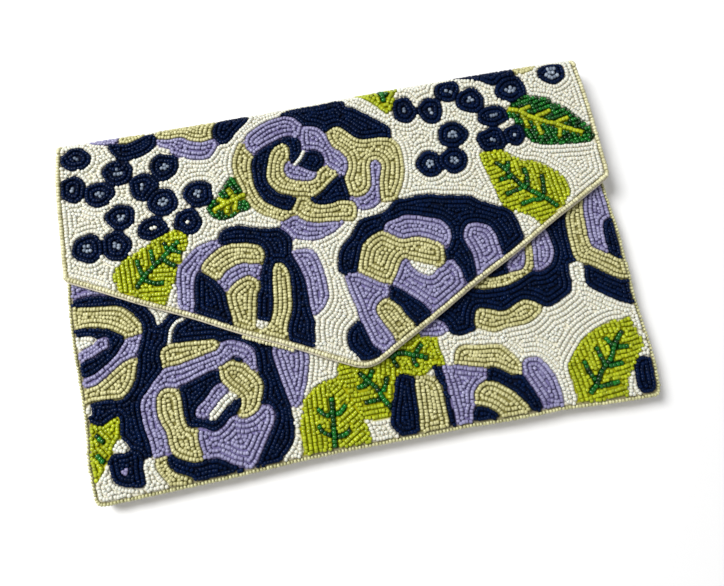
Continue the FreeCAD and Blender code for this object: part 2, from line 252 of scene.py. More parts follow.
class Panel:
    """Regions painted in order onto a fine plan, which then decides where the rows of beads run."""

    def __init__(self, lo, hi, step=0.3):
        self.lo, self.step = np.array(lo, float), step
        self.nx, self.ny = (int(round((h - l) / step)) + 1 for l, h in zip(lo, hi))
        self.ids = np.full((self.ny, self.nx), -1, np.int16)
        self.colours, self.strings = ["I"], []      # "-" before a colour marks a row drawn on its own
        self.centres, self.straight = [], {}

    def inside(self, pts):
        """Even-odd fill of a closed run of points."""
        q = (np.asarray(pts, float) - self.lo) / self.step
        flips = np.zeros((self.ny, self.nx + 1), np.int32)
        for (x0, y0), (x1, y1) in zip(q, np.roll(q, -1, axis=0)):
            if y0 == y1:
                continue
            a, b = (y0, y1) if y0 < y1 else (y1, y0)
            rows = np.arange(max(0, math.ceil(a)), min(self.ny, math.ceil(b)))
            if len(rows):
                xs = x0 + (rows - y0) * (x1 - x0) / (y1 - y0)
                np.add.at(flips, (rows, np.clip(np.ceil(xs), 0, self.nx).astype(int)), 1)
        return (np.cumsum(flips, axis=1)[:, :-1] & 1).astype(bool)

    def field(self, outline):
        """The ivory ground that everything else is painted on."""
        self.ids[self.inside(outline)] = 0

    def paint(self, colour, outline):
        self.colours.append(colour)
        self.ids[self.inside(outline) & (self.ids >= 0)] = len(self.colours) - 1

    def patch(self, colour, *pts):
        """A patch of one colour inside a smooth run of points."""
        self.paint(colour, curve(pts))

    def leaf(self, colour, *pts, rib, rows):
        """A patch with straight rows, at one angle on the left of its rib and another on the right."""
        self.patch(colour, *pts)
        self.straight[len(self.colours) - 1] = (rib, np.radians(rows))

    def cell(self, x, y):
        return int((y - self.lo[1]) / self.step), int((x - self.lo[0]) / self.step)

    def berry(self, x, y, rx, ry, middle=2.2, colour="B"):
        """A navy berry, not quite round, with a few beads of colour in its middle."""
        a = np.linspace(0, 2 * np.pi, 28, endpoint=False)
        wob = 1 + .045 * np.sin(3 * a + x) + .03 * np.sin(5 * a + y)
        pts = np.stack([x + rx * wob * np.cos(a), y + ry * wob * np.sin(a)], -1)
        self.paint("N", pts)
        self.centres.append((x, y, middle * rx / 8, middle * ry / 8, colour))

    def string(self, colour, *pts, width=3.4, size=1.24):
        """One row of beads on its own line, as a leaf's vein or a thin stripe."""
        p = curve(pts, closed=False) if len(pts) > 2 else np.array(pts, float)
        ahead = unit(np.diff(p, axis=0))
        side = np.stack([-ahead[:, 1], ahead[:, 0]], -1) * width / 2
        side = np.vstack([side, side[-1:]])
        q = p.copy()
        q[0] -= ahead[0] * width * .2
        q[-1] += ahead[-1] * width * .2
        self.paint("-" + colour, np.vstack([q + side, (q - side)[::-1]]))
        self.strings.append((p, colour, size))

    def veins(self, colour, rib, *sides, bold=(3.4, 1.24), thin=(3.1, 1.15)):
        """A leaf's rib and the side veins, each with its own width and size of bead."""
        self.string(colour, *rib, width=bold[0], size=bold[1])
        for side in sides:
            self.string(colour, *side, width=thin[0], size=thin[1])


def curve(pts, closed=True, steps=5):
    """A smooth run through the points."""
    p = np.array(pts, float)
    if closed:
        a, b, c, d = (np.roll(p, k, axis=0) for k in (1, 0, -1, -2))
    else:
        e = np.vstack([2 * p[0] - p[1], p, 2 * p[-1] - p[-2]])
        a, b, c, d = e[:-3], e[1:-2], e[2:-1], e[3:]
    t = np.linspace(0, 1, steps, endpoint=False)[:, None, None]
    out = .5 * (2 * b + (c - a) * t + (2 * a - 5 * b + 4 * c - d) * t ** 2
                + (3 * b - a - 3 * c + d) * t ** 3)
    out = out.transpose(1, 0, 2).reshape(-1, 2)
    return out if closed else np.vstack([out, p[-1]])


def flap_artwork():
    f = Panel((-160, -62), (160, 122))
    f.field(flap_outline(3.1, top=118.4))
    P, S = f.patch, f.string
    # what runs over the fold
    P("L", (-134, 99), (-128, 95.5), (-118, 94), (-106, 100), (-104, 106), (-112, 110), (-124, 109),
      (-133, 104))
    P("K", (-117, 96), (-111, 93.5), (-105, 95.5), (-102, 100), (-106, 107), (-114, 106))
    P("K", (-96, 96), (-94.5, 93), (-88, 91.5), (-80.5, 91.5), (-75.5, 88), (-64.5, 86.5), (-61, 98),
      (-66, 106), (-80, 109), (-92, 105))
    P("N", (-123, 91.5), (-122, 94.5), (-118, 94), (-114.5, 92), (-111, 92), (-108.5, 94), (-104.5, 95.5),
      (-101, 97.5), (-95.5, 97), (-96.5, 88.5), (-100.5, 84.5), (-109, 82), (-118, 83))
    P("L", (-95, 92.5), (-90.5, 91), (-81.5, 90.5), (-78, 87.5), (-72.5, 85), (-67.5, 85), (-63.5, 86.5),
      (-60.5, 84.5), (-64.5, 77.5), (-69.5, 74.5), (-81.5, 77.5), (-89.5, 84.5), (-93.5, 86.5),
      (-95.5, 89.5))
    P("N", (-64, 89), (-63, 94), (-60, 99), (-52, 103), (-44, 101), (-42, 96), (-50, 88.5), (-54.5, 83),
      (-60.5, 82.5))
    P("G", (20, 101), (27.5, 94), (34.5, 86.5), (37.5, 83.5), (42.5, 92.5), (45.5, 97), (46, 106),
      (36, 112), (24, 109))
    S("E", (33, 108), (36, 99), (36.8, 91.5))
    S("E", (36, 99), (40, 96))
    P("N", (78, 101), (94, 94), (102, 90.5), (115.5, 95.5), (117, 100), (112, 106), (98, 108), (84, 106))
    P("K", (116, 102), (116.5, 95), (123, 94.5), (128, 96.5), (130.5, 101), (127, 107), (119, 107))
    # sprays of berries
    for b in ((-144.7, 70, 6.9, 8.4), (-130.7, 64.3, 8.8, 7.5), (-119.3, 75.3, 8.7, 7.8),
              (-120.4, 49.2, 8.5, 7.5), (-139.9, 34, 8.8, 8.5), (-124.1, 33, 8.2, 8.7),
              (-105.7, 64.3, 8.3, 8.5, 1.8), (-93.2, 74.3, 8.2, 8.4), (-96.3, 53.7, 8.7, 8.2),
              (-76.3, 55, 8.6, 8), (-141.3, 88, 8.4, 7.6, 1.9),
              (47.4, 84.2, 6.8, 8.2), (62.2, 81.4, 7.3, 8.2), (74.6, 91.6, 7.8, 6.6, 2.6),
              (86.2, 83.6, 8.4, 7.8, 2.2), (111.2, 86, 9.4, 7.8, 2.6), (137.4, 92, 8.4, 6.6, 3.6),
              (97.4, 72, 9.6, 6.4, 2.2), (71.8, 64.8, 9.2, 8, 2.4), (55, 49.4, 7.6, 8.2),
              (69, 49, 8.4, 7.8, 2.2), (93.8, 57.6, 9.2, 7.8, 2), (107, 58.2, 6.6, 6.6, 1.2)):
        f.berry(*b)
    f.berry(-103.7, 39.2, 8.9, 6.9, 1.8, "W")
    f.berry(-84.1, 39.7, 8, 7.9, .9, "W")
    P("N", (-124.5, 82), (-120, 82.5), (-117, 82), (-116, 79), (-121, 79))
    # leaves
    f.leaf("E", (-73, 45), (-69.5, 48.5), (-59.5, 59.5), (-55.5, 62), (-53.5, 60), (-50.5, 46),
      (-48.5, 41.5), (-55.5, 39.5), (-60, 37.5), (-66, 37.5), (-70.5, 40),
      rib=((-69, 43.8), (-50.5, 50)), rows=(115, 70))
    f.veins("G", ((-50.5, 50), (-57, 48), (-63, 46), (-69, 43.8)), ((-57, 49), (-60, 54.5)),
            ((-56, 47), (-57.5, 41.5)), ((-62, 47), (-66, 50.5)), ((-61, 45), (-62, 40.5)),
            bold=(3.1, 1.15), thin=(2.9, 1.08))
    f.leaf("G", (-127.5, 18), (-124.5, 21.5), (-120, 23), (-115.5, 26.5), (-96, 35.5), (-92, 36),
      (-88.5, 34.5), (-85.5, 27.5), (-94, 14), (-95, 9.5), (-98, 3.5), (-101.5, -4), (-107.5, -2),
      (-123.5, 8.5), (-127, 10.5),
      rib=((-116, 7.5), (-90.5, 29.5)), rows=(92, -6))
    f.veins("E", ((-116, 7.5), (-111.5, 12.5), (-106, 17.5), (-100.5, 21.5), (-96, 25.5), (-90.5, 29.5)),
            ((-112, 14), (-113.5, 18.5), (-114, 23)), ((-105.5, 19), (-106, 27.5)),
            ((-97.5, 26), (-98.5, 30.5)), ((-99.5, 20.5), (-94, 16)), ((-94.5, 25.2), (-90, 23)),
            ((-111, 11), (-106, 8.5), (-101, 8)))
    f.leaf("G", (85, 51), (90, 50.5), (96.5, 50.5), (107, 43), (114, 41), (120, 37.5), (128, 29), (130, 24),
      (130, 18.5), (125.5, 14.5), (115, 7), (109.5, 3.5), (105.5, 8), (95, 15), (90, 20), (88.5, 27),
      (84.5, 46.5),
      rib=((92, 44), (121, 12)), rows=(95, 8))
    f.veins("E", ((92, 44), (96, 40), (100, 33.5), (104.5, 27), (111, 21.5), (116, 17.5), (121, 12)),
            ((99.5, 43), (98.3, 38)), ((107.5, 37.5), (108, 32), (107, 26.5)),
            ((116.5, 32), (116, 25.5), (115, 20.5)), ((92.5, 33), (99, 33.8)), ((94, 24), (103, 26)),
            ((101, 16.5), (107, 18), (113.5, 17.7)))
    f.leaf("E", (108.5, 77), (113.5, 79), (119, 81), (132, 77), (134, 73.5), (140.5, 69.5), (151.5, 54.5),
      (152, 48), (146, 46.5), (124.5, 49), (115, 53), (112, 62.5), (106, 70.5),
      rib=((107, 74.5), (146, 52.8)), rows=(12, 104))
    f.veins("G", ((107, 74.5), (113.5, 72), (118, 68), (127, 63), (132.5, 60.5), (138, 57), (146, 52.8)),
            ((113.5, 72.6), (120, 74)), ((114, 69.5), (116, 62)), ((121.5, 67), (131, 69.5)),
            ((121, 64.5), (122.5, 55.5)), ((132.5, 61.5), (140, 63.5)), ((134, 58), (132.5, 52.5)),
            bold=(3.1, 1.15), thin=(2.9, 1.08))
    # the rose at the top
    P("K", (-48.5, 81.5), (-52, 77.5), (-55.5, 66.5), (-51, 49.5), (-45.5, 38.5), (-34, 31.5),
      (-29.5, 31.5), (-27, 34), (-27, 38), (-33.5, 40), (-41, 49), (-42, 60), (-41, 74), (-46, 79))
    P("N", (-24.5, 94.5), (-16.5, 98.5), (0, 98), (8.5, 99), (13.5, 97), (14.5, 93), (19.5, 90.5),
      (34.5, 78.5), (37.5, 74.5), (36.5, 70), (31.5, 69), (18.5, 69.5), (13, 72), (8, 77), (2, 78),
      (-10, 81), (-21, 92))
    P("L", (-46.5, 81.5), (-43.5, 86), (-32.5, 92), (-22, 93.5), (-16.5, 91.5), (-13.5, 87.5),
      (-10.5, 83.5), (-16, 73), (-24, 76), (-33.5, 76), (-37.5, 74), (-42.5, 73), (-46, 77.5))
    P("L", (-12, 84.5), (-2.5, 81.5), (3, 70), (10, 61), (5.5, 50), (0, 52), (-4, 57), (-8, 68), (-13, 69),
      (-15.5, 75))
    P("K", (0.5, 78), (6, 81.5), (10, 79.5), (18.5, 71.5), (31.5, 70.5), (39.5, 66), (41, 54.5),
      (38.5, 42.5), (33.5, 33.5), (28.5, 31.5), (24, 32), (20, 40), (16.5, 38), (12.5, 37), (8.5, 38.5),
      (6.2, 44), (6, 49.5), (8.5, 54.5), (9.3, 60.5), (6.5, 65.5), (2.5, 69.5))
    P("L", (22, 56), (26.5, 56.5), (27.5, 52.5), (24.5, 43), (24, 36), (22, 31), (17, 29), (11, 29.5),
      (9.5, 33), (6, 36), (9, 37.8), (12.5, 37.2), (16.5, 38.5), (20, 43))
    P("N", (-16, 77.5), (-24.5, 80), (-42.5, 71.5), (-45, 57), (-42.5, 47.5), (-38.5, 42), (-28, 36.5),
      (-21.5, 43), (-30, 50), (-31, 60), (-28, 67), (-24, 70), (-22, 64), (-20, 62.5), (-15.5, 71))
    P("K", (-24.5, 76), (-32, 73.5), (-37.5, 58), (-33.5, 49.5), (-29.5, 46.5), (-15.5, 42), (-8.5, 44.5),
      (0, 50.5), (3, 53), (-2, 58), (-4, 59.5), (-10, 55.5), (-16, 56), (-24, 63), (-22, 71.5))
    P("L", (-24, 65.5), (-21.5, 62.5), (-13, 58), (-9, 57), (-9.5, 53.5), (-13.5, 51.5), (-24, 54.5),
      (-27, 60.5))
    P("N", (-12.5, 69.5), (-6, 68.5), (-3.5, 64), (-4.5, 60), (-8.5, 56.5), (-12.5, 57.5), (-16, 60.5),
      (-18, 61.5))
    S("W", (-20.5, 62.3), (-17, 65.7), (-13.8, 70), width=2.2, size=.88)
    P("N", (4, 51.5), (5.7, 47.5), (6.5, 37), (2, 36.5), (-9.5, 36.5), (-16, 39.5), (-8.5, 42.5), (0, 50))
    P("K", (-22, 43.5), (-15.5, 42), (-16, 39.5), (-10, 36.5), (-4, 36), (2, 37), (9.5, 33.5), (7.5, 24.5),
      (2, 24.5), (-18, 27.5), (-24.5, 33.5), (-26.5, 36), (-24, 39.5))
    P("L", (-24.5, 32.5), (-18, 27.5), (-4.5, 25.5), (1.5, 24.5), (-5, 19.5), (-16.5, 16.5), (-28.5, 20),
      (-31, 24), (-34.5, 28), (-33, 30), (-28.5, 31.5))
    # the rose at the lower left
    P("L", (-69, 26), (-73.5, 26.5), (-83, 23.5), (-90.5, 15.5), (-94.5, 5.5), (-94.5, -12), (-85, -16),
      (-84, -4), (-83, 6.5), (-80, 12), (-71, 20.5), (-67, 22.5))
    P("N", (-69, 24.5), (-66.5, 31.5), (-57, 33), (-51.5, 31), (-39.5, 28), (-35, 27.5), (-29, 20.5),
      (-30.5, 11.5), (-29.5, 8), (-26, -3.5), (-25, -23.5), (-24, -27.5), (-25, -32), (-27.5, -42),
      (-42, -44), (-44, -28), (-58, -18), (-58, 0), (-50, 10), (-60, 20))
    P("N", (-81.5, 10.5), (-78.5, 8.5), (-71, 0), (-66, -4), (-66, -26), (-73, -26), (-87, -18),
      (-86, -5.5), (-84.5, 6))
    P("K", (-81, 11.5), (-74.5, 18.5), (-63.5, 23), (-48.5, 20), (-45, 13.5), (-49, 7), (-58.5, 9),
      (-65, 7), (-71, 4), (-77.5, 8.5))
    P("L", (-73, 3.5), (-70.5, 4), (-67, 8), (-58.5, 11), (-53, 9.5), (-48, 8.5), (-50, 1), (-54.5, 1),
      (-60, 0), (-65, -4), (-69, -4), (-70.5, -0.5))
    P("K", (-68.5, -4), (-57, 3.5), (-50.5, 0), (-50.5, -5.5), (-52.5, -8.5), (-55.5, -26), (-56, -34),
      (-68, -28), (-67.5, -20))
    P("K", (-38.5, 8), (-33.5, 1.5), (-35, -18), (-39.5, -30), (-40.5, -44), (-56, -36), (-55.5, -26.5),
      (-49.5, -26.5), (-45, -15.5), (-42.5, 3.5))
    P("L", (-30.5, 10), (-29.5, 12), (-25.5, 13.5), (-17.5, 10), (-14, -8), (-15.5, -18.5), (-23, -24.5),
      (-25.5, -18.5), (-25.5, -4), (-29, 7.5))
    # the rose at the lower right
    P("N", (-7, -1.5), (-4, 9), (3.5, 16), (10.5, 24), (23.5, 26), (30.5, 30.5), (36, 32), (51, 32),
      (58, 30), (73.5, 27), (78, 23.5), (94, 14), (97.5, 2.5), (97, -8), (80, -18), (40, -40), (29, -46),
      (14, -20), (4, -7), (-3.5, -6.5))
    P("L", (69.5, 11), (79, 8.5), (82.5, 3), (83.5, -3), (84, -16), (77, -20), (68, -24), (67.5, -7.5),
      (64.5, 4))
    P("L", (22, 17), (25, 20), (31, 21), (36.5, 22), (50.5, 17.5), (56, 14), (58.5, 9), (57.5, 3),
      (53.5, -1), (46.5, 4), (27, 9), (23, 12.5))
    P("K", (4, -5.5), (4.5, -1), (9.5, 10), (18, 15), (22.5, 14.5), (30.5, 9), (36, 9), (42, 8), (51, 3),
      (53, 0), (51, -9), (46, -11), (37.5, -8), (32, -5), (24, -10), (22, -15), (19, -16), (7.5, -8.5))
    P("L", (29, -3), (32, -3.5), (36, -8), (46, -12), (55, -7.5), (58, -11), (60, -17), (59, -34),
      (46.5, -40), (38, -33), (35, -28.5), (26, -20), (21, -15.5), (23.5, -11.5))
    P("W", (32.5, -4), (42, -8), (46.5, -10), (42.5, -14.5), (35, -10))
    P("L", (-3.5, -6.5), (3.5, -6), (15, -13.5), (19, -15.5), (17.5, -21.5), (13.5, -23), (11, -26),
      (11, -32), (17, -43), (16, -48), (11, -51), (6, -52), (3, -45.5), (-0.5, -33), (-0.5, -27),
      (-3.5, -14))
    P("K", (9.5, -27), (12, -24), (16, -22.5), (22, -27.5), (24.5, -33), (29, -40), (30, -48), (17, -52),
      (16, -44), (9.5, -30))
    P("N", (0, -31), (-7.5, -36), (-9, -41.5), (-8, -47), (-4, -51.5), (0.5, -58), (12, -56), (9, -51.5),
      (7.5, -49), (4, -45.5), (0.5, -33))
    return f


def front_artwork():
    f = Panel((-161, -106), (161, 90))
    f.field(front_outline(2.5, MOUTH - 1.4))
    P, S = f.patch, f.string
    # the cut rose at the left, with its trunk
    P("N", (-154, 9), (-141.5, 9), (-130.5, 8), (-106, 0), (-96, -4), (-88, -8), (-100, -17), (-104, -25),
      (-108, -28.5), (-109.5, -31.5), (-109, -36.5), (-111.5, -41), (-120.5, -51), (-122.5, -62.5),
      (-120, -75), (-119.5, -80.5), (-124, -82.5), (-130.5, -74), (-135, -66.5), (-134.5, -58.5),
      (-143.8, -62), (-148.8, -58), (-149, -50), (-161, -46), (-161, -20))
    P("L", (-161, 17), (-146, 18), (-134, 14), (-127, 9), (-130.5, 7), (-141.5, 9), (-161, 9))
    P("I", (-113.5, -2.5), (-108, -1), (-94.5, -6), (-100.5, -8), (-108.5, -14), (-110, -8))
    P("K", (-161, 4), (-141.5, 2.5), (-130.5, 1), (-124.5, -2), (-117.5, -11), (-118, -18), (-124, -20),
      (-134, -13), (-141.5, -11), (-161, -10))
    P("L", (-127, -18.5), (-122, -17.6), (-118, -17), (-121.5, -27.5), (-130.5, -31), (-141.5, -38.5),
      (-147, -40.5), (-161, -41), (-161, -33), (-141.5, -31), (-135.5, -27))
    P("N", (-161, -8.5), (-141.5, -9), (-129.5, -14.5), (-127, -18.5), (-130.5, -23.5), (-135.5, -28.5),
      (-147, -34.5), (-161, -34.5), (-161, -25), (-145.5, -24), (-138, -21), (-137, -17), (-142, -16),
      (-145.5, -13), (-161, -12))
    P("L", (-142, -15.5), (-136.5, -15.5), (-135.5, -21.5), (-139, -22.4), (-144.5, -25), (-161, -27),
      (-161, -20), (-145.5, -17))
    P("W", (-161, -12.5), (-145.5, -13.5), (-142, -15.5), (-145.5, -18.5), (-161, -21.5))
    P("K", (-122, -29), (-122, -33.5), (-124, -41), (-127, -46), (-132, -49.5), (-140.5, -48.5),
      (-161, -47.5), (-161, -41), (-146.5, -40.5), (-140.5, -38), (-129, -30.5))
    P("G", (-161, -62), (-149.5, -60), (-144, -62), (-135.5, -58.5), (-134.5, -65), (-139.5, -75),
      (-147, -87.5), (-152, -91), (-161, -88))
    S("E", (-147.5, -65.5), (-143.5, -70.5), width=3.4, size=1.2)
    S("E", (-147.8, -76), (-144.6, -80.3), width=3.4, size=1.2)
    P("N", (-139, -76.5), (-130.5, -76.5), (-124.5, -79), (-124.5, -86.5), (-124.5, -95), (-128, -96.5),
      (-139.5, -92.5), (-142, -82.5))
    f.centres.append((-133.4, -86.3, 2.1, 2.1, "L"))
    P("W", (-135.5, -70.5), (-131, -77), (-139.5, -76.2))
    # the rose at the bottom left
    P("N", (-101.5, -25), (-99.5, -15.5), (-94.5, -14), (-86, -10), (-72, -8), (-56, -14), (-47, -26),
      (-49, -34), (-50, -40.5), (-48.5, -46.5), (-47.5, -55.5), (-44.5, -70), (-45.5, -86.5),
      (-53.5, -95.5), (-60, -99), (-94.5, -100), (-101.5, -98), (-109.5, -91), (-112, -85), (-108, -80),
      (-100, -60), (-100, -48), (-90, -30))
    P("K", (-104.5, -25.5), (-83, -26.5), (-78, -28.5), (-76.5, -33), (-83, -36), (-99.5, -39),
      (-106.5, -39), (-109.5, -31))
    P("L", (-108, -38), (-117, -46.5), (-121.5, -51.5), (-123, -57.5), (-120, -75), (-119, -82.5),
      (-116.5, -84), (-109, -82), (-109, -68), (-112, -63.5), (-111, -53), (-99.5, -48.5), (-79.5, -42),
      (-72, -38), (-66, -40), (-59.5, -49), (-59.5, -36), (-70.5, -29), (-76.5, -29.5), (-78, -32.5),
      (-84.5, -34), (-99.5, -37))
    P("K", (-111.5, -49.5), (-108, -48), (-104, -49), (-100, -50), (-98, -58.5), (-99, -65), (-97, -69),
      (-92, -70), (-92, -75), (-91.5, -81.5), (-92.5, -88), (-99.5, -88.5), (-109, -82.5), (-111, -71),
      (-114, -63.5), (-114, -53.5))
    P("N", (-101.5, -49), (-94.5, -47.5), (-87, -45), (-79.5, -44), (-77, -48), (-70, -58), (-70, -66),
      (-76, -71), (-86.5, -75), (-91.5, -71.5), (-99.5, -70), (-100.5, -56.5))
    P("L", (-79, -50.5), (-76, -54), (-76, -57.5), (-82, -62.5), (-87.5, -68), (-94.5, -66), (-94.5, -62.5),
      (-88, -57), (-83, -52))
    P("W", (-76, -56.5), (-71.5, -59), (-78, -64), (-84.5, -69.5), (-88.5, -67.5), (-83, -61.5))
    P("K", (-79, -44), (-70.5, -40.5), (-61.5, -47.5), (-57, -56), (-62, -68.5), (-68, -71.5), (-73, -69.5),
      (-70.5, -64), (-70.5, -60), (-78, -51.5))
    P("L", (-94, -72.5), (-86.5, -76), (-81.5, -74), (-75.5, -69), (-69, -72), (-62, -69), (-58, -66),
      (-54.5, -68.5), (-53.5, -73.5), (-55.5, -78.5), (-64, -91.5), (-66.5, -95), (-73, -95.5),
      (-79, -93.5), (-85.5, -89), (-93, -87.5))
    P("K", (-118, -84), (-111.5, -82.5), (-112.5, -86), (-109.5, -91.5), (-99, -98), (-109, -100),
      (-113, -97), (-118, -89))
    S("W", (-94.3, -12.8), (-98.3, -14), (-100.8, -16.3), (-102.5, -19.5), (-103.6, -24.5),
      width=2.2, size=.88)
    P("L", (-49.5, -38), (-42, -34), (-33, -36), (-30.5, -44), (-34, -58.5), (-37.5, -66), (-40.5, -70.5),
      (-44, -70), (-46, -63.5), (-49, -47.5))
    # leaves at the bottom
    f.leaf("G", (-16, -52), (-8, -49), (2, -50), (12, -50), (16, -57), (14.5, -64), (12, -68.5),
      (10, -75.5), (7.5, -80.5), (6, -85), (-6, -83.5), (-17, -66),
      rib=((-5.5, -59), (7.5, -80)), rows=(83, 0))
    f.leaf("G", (-42, -80.5), (-39.5, -75.5), (-38, -70), (-30, -62), (-19.5, -59.5), (-16, -62.5),
      (-12, -73), (-6.5, -87.5), (-7, -99), (-24.5, -101), (-40.5, -100), (-42, -88.5),
      rib=((-25.2, -95), (-22.5, -69)), rows=(88, 30))
    f.veins("E", ((-22.5, -69), (-23.5, -76.5), (-24.3, -86.5), (-25.2, -95)),
            ((-31, -73.6), (-27.8, -77.3), (-25.2, -78.2)), ((-16, -74), (-19, -77.8), (-21.8, -78)),
            ((-32, -82), (-30, -86), (-26.4, -88.4)), ((-15.5, -87), (-19, -89.3), (-22.8, -89.8)))
    f.veins("E", ((-5.5, -59), (-2, -64), (2, -68.5), (4, -74), (7.5, -80)), ((1.5, -58.5), (-0.3, -62.3)),
            ((-8.5, -66.8), (-2.6, -65.8)), ((8.5, -64), (6.8, -68), (5, -71)),
            ((-6, -75), (0, -75), (2.8, -74.8)))
    P("G", (13.5, -50), (22, -44), (33, -42), (39, -46), (39.5, -54.5), (41, -59.5), (40, -62.5),
      (34, -62.5), (30, -66), (24.5, -66.5), (16.5, -64), (13.5, -65.5))
    f.veins("E", ((12, -54), (18, -52.5), (24.5, -54.5), (32, -57.5)), ((13.5, -55.5), (15.5, -60)),
            ((24, -56.5), (25.5, -61.5)), ((26.5, -53.5), (30.5, -50)))
    # the half rose at the bottom middle
    P("N", (34, -63), (37.5, -64), (42, -70), (50, -84), (53, -88), (58, -90), (68, -99), (50, -101),
      (33, -99), (34, -72))
    P("N", (16.5, -63.5), (25, -68), (26, -75), (26, -88), (25, -99), (14, -97), (6.5, -91.5), (6, -86),
      (10.5, -72.5), (12.5, -66.5))
    P("K", (23, -68), (28, -66.5), (35.5, -71.5), (36.5, -86.5), (35.5, -99), (21.5, -99), (21.5, -86.5),
      (22.2, -76.5))
    P("N", (61.5, -71), (66.5, -69), (75, -75), (80, -76), (81.5, -78.5), (86, -89), (89, -99), (81.5, -99),
      (78, -91.5), (69, -81), (64, -78.5), (60, -77.5))
    P("K", (46, -61.5), (48.5, -56), (53.5, -54.5), (61, -56), (70, -57), (75, -60), (81.5, -70), (80, -75),
      (75, -74.5), (66.5, -69), (61, -68.5), (46.5, -65))
    P("L", (39, -65), (45, -64), (53.5, -66.5), (61, -69), (61.5, -74), (56, -76.5), (52.5, -81),
      (52, -86.5), (50, -91.5), (49.5, -95), (41, -95), (40, -86.5), (39.5, -76.5))
    P("K", (52.5, -81.5), (56, -77.5), (61, -76), (66, -77.5), (76, -86.5), (82.5, -100), (67, -100),
      (63.5, -93.5), (61, -90), (56, -87.5), (52.5, -86.5))
    P("L", (83.5, -68), (90, -68), (94, -71.5), (97.5, -78.5), (99, -86.5), (99.5, -94), (96, -96),
      (88.5, -95.5), (86.5, -89), (81.5, -75))
    # the rose at the right
    P("N", (38, -34), (46, -43), (46.5, -46), (50, -49), (61, -48), (96, -40), (101, -42), (105, -42.5),
      (115, -38.5), (118.5, -35), (120.5, -23.5), (121, -21), (134, -25), (141, -30), (143, -16), (128, 0),
      (134, 14), (128, 22), (112, 14), (90, 4), (60, -16), (44, -28))
    P("K", (63.5, -37.5), (67.5, -36.5), (76.5, -40), (81.5, -39.5), (91.5, -36), (100, -42.5), (91.5, -49),
      (76.5, -50), (71.5, -51), (61.5, -46))
    P("L", (30, -44), (35, -39), (40, -37), (45.5, -41.5), (46, -45), (41.5, -47.5), (31.5, -45.5))
    P("K", (64, -24), (71.5, -26.5), (84.5, -26.5), (96.5, -22), (100.5, -19.5), (101.5, -14), (102.5, -4),
      (98, -2), (96, -12), (92, -18), (88.5, -18.5), (83, -20), (75, -18), (66, -18))
    P("N", (74, -20), (85, -20), (87, -18.5), (85.5, -14), (80, -12))
    P("L", (86.5, -13.5), (92, -9), (98, -6), (95.5, -18), (87, -19))
    P("L", (102.5, -5), (106, 2), (112, 3), (114.5, -10), (113, -16), (109, -20.5), (101, -21.5),
      (102.5, -10))
    P("L", (138.5, 15), (141, 22), (149.5, 23.5), (151.5, 15.5), (152.5, 7.5), (152, 2), (145.5, -2.5),
      (144.5, -15.5), (143, -18.5), (134, -14), (133.5, -8.5), (135, 8.5))
    P("K", (127, 9.5), (128, 16), (135, 20), (138, 15), (136.5, 8), (135.5, -8.5), (136.5, -13.5),
      (141.5, -17.5), (152, -25), (161, -29), (155, -38), (147, -34.5), (128.5, -21.5), (125, -19.5),
      (124, -11.5), (125, 5.5))
    P("N", (161, 2.5), (148.5, 0.5), (145.5, -3), (144.5, -16), (147, -20.5), (161, -26))
    P("N", (128.5, -22.5), (134, -25), (146.5, -34), (161, -37), (161, -51.5), (145, -47.5), (133.5, -40),
      (129, -36), (127.5, -31))
    P("W", (120.5, -21.5), (124, -20.5), (128.3, -22.5), (127, -32), (128.5, -36), (121.5, -33),
      (119.8, -28))
    # the leaf and berry at the bottom right
    f.leaf("G", (105.5, -77.5), (107.5, -73.5), (118.5, -62.5), (133.5, -56.5), (141.5, -56.5),
      (146.5, -55.5), (147.5, -61), (149.5, -67.5), (149, -74), (144, -77.5), (136, -90), (133.5, -100),
      (121.5, -100), (108.5, -99), (106.5, -91),
      rib=((114, -92.5), (140, -62.5)), rows=(98, 6))
    f.veins("E", ((114, -92.5), (118.5, -88.5), (123.5, -81.5), (130, -76), (134, -69), (140, -62.5)),
            ((115, -75), (116.5, -81.5), (118.5, -86)), ((123.5, -69), (125, -75), (126, -78)),
            ((129.5, -64.5), (132.5, -69.5)), ((141, -71.5), (135.5, -70.8)),
            ((136, -79.5), (127.5, -80.3)), ((131, -89), (120, -89.8)))
    P("N", (142.5, -81.5), (146.5, -78), (151, -79), (161, -84), (161, -92), (148.5, -98.5), (142.5, -97),
      (140, -91))
    # bare round the snap
    a = np.linspace(0, 2 * np.pi, 24, endpoint=False)
    f.ids[f.inside(np.stack([SNAP_ROOM * np.cos(a), SNAP_Y + SNAP_ROOM * np.sin(a)], -1))] = -1
    return f


# ---------------------------------------------------------------- rows of beads
ROW, ALONG = 2.62, 1.76         # pitch from row to row, and from bead to bead in a row
CELL = 2.7                      # placed beads are looked up in squares of this side
FAR = 1e4                       # no mark in this row or column
SOFTEN = (.1, .15, .15, .2, .15, .15, .1)       # smooths a row along its length
HALF_ROW = .95                  # a stretch whose middle is nearer its outline has no room for a row
LEAF_REACH = 40                 # a leaf's straight rows start this far from its middle


def shift_min(g, start, reach):
    """Least of start and the straight-line distances over whole columns."""
    best = start.astype(np.float32) ** 2
    g2 = g.astype(np.float32) ** 2
    n = g.shape[1]
    for d in range(-reach, reach + 1):
        a, b = max(0, d), min(n, n + d)
        np.minimum(best[:, a - d:b - d], g2[:, a:b] + d * d, out=best[:, a - d:b - d])
    return np.sqrt(best)


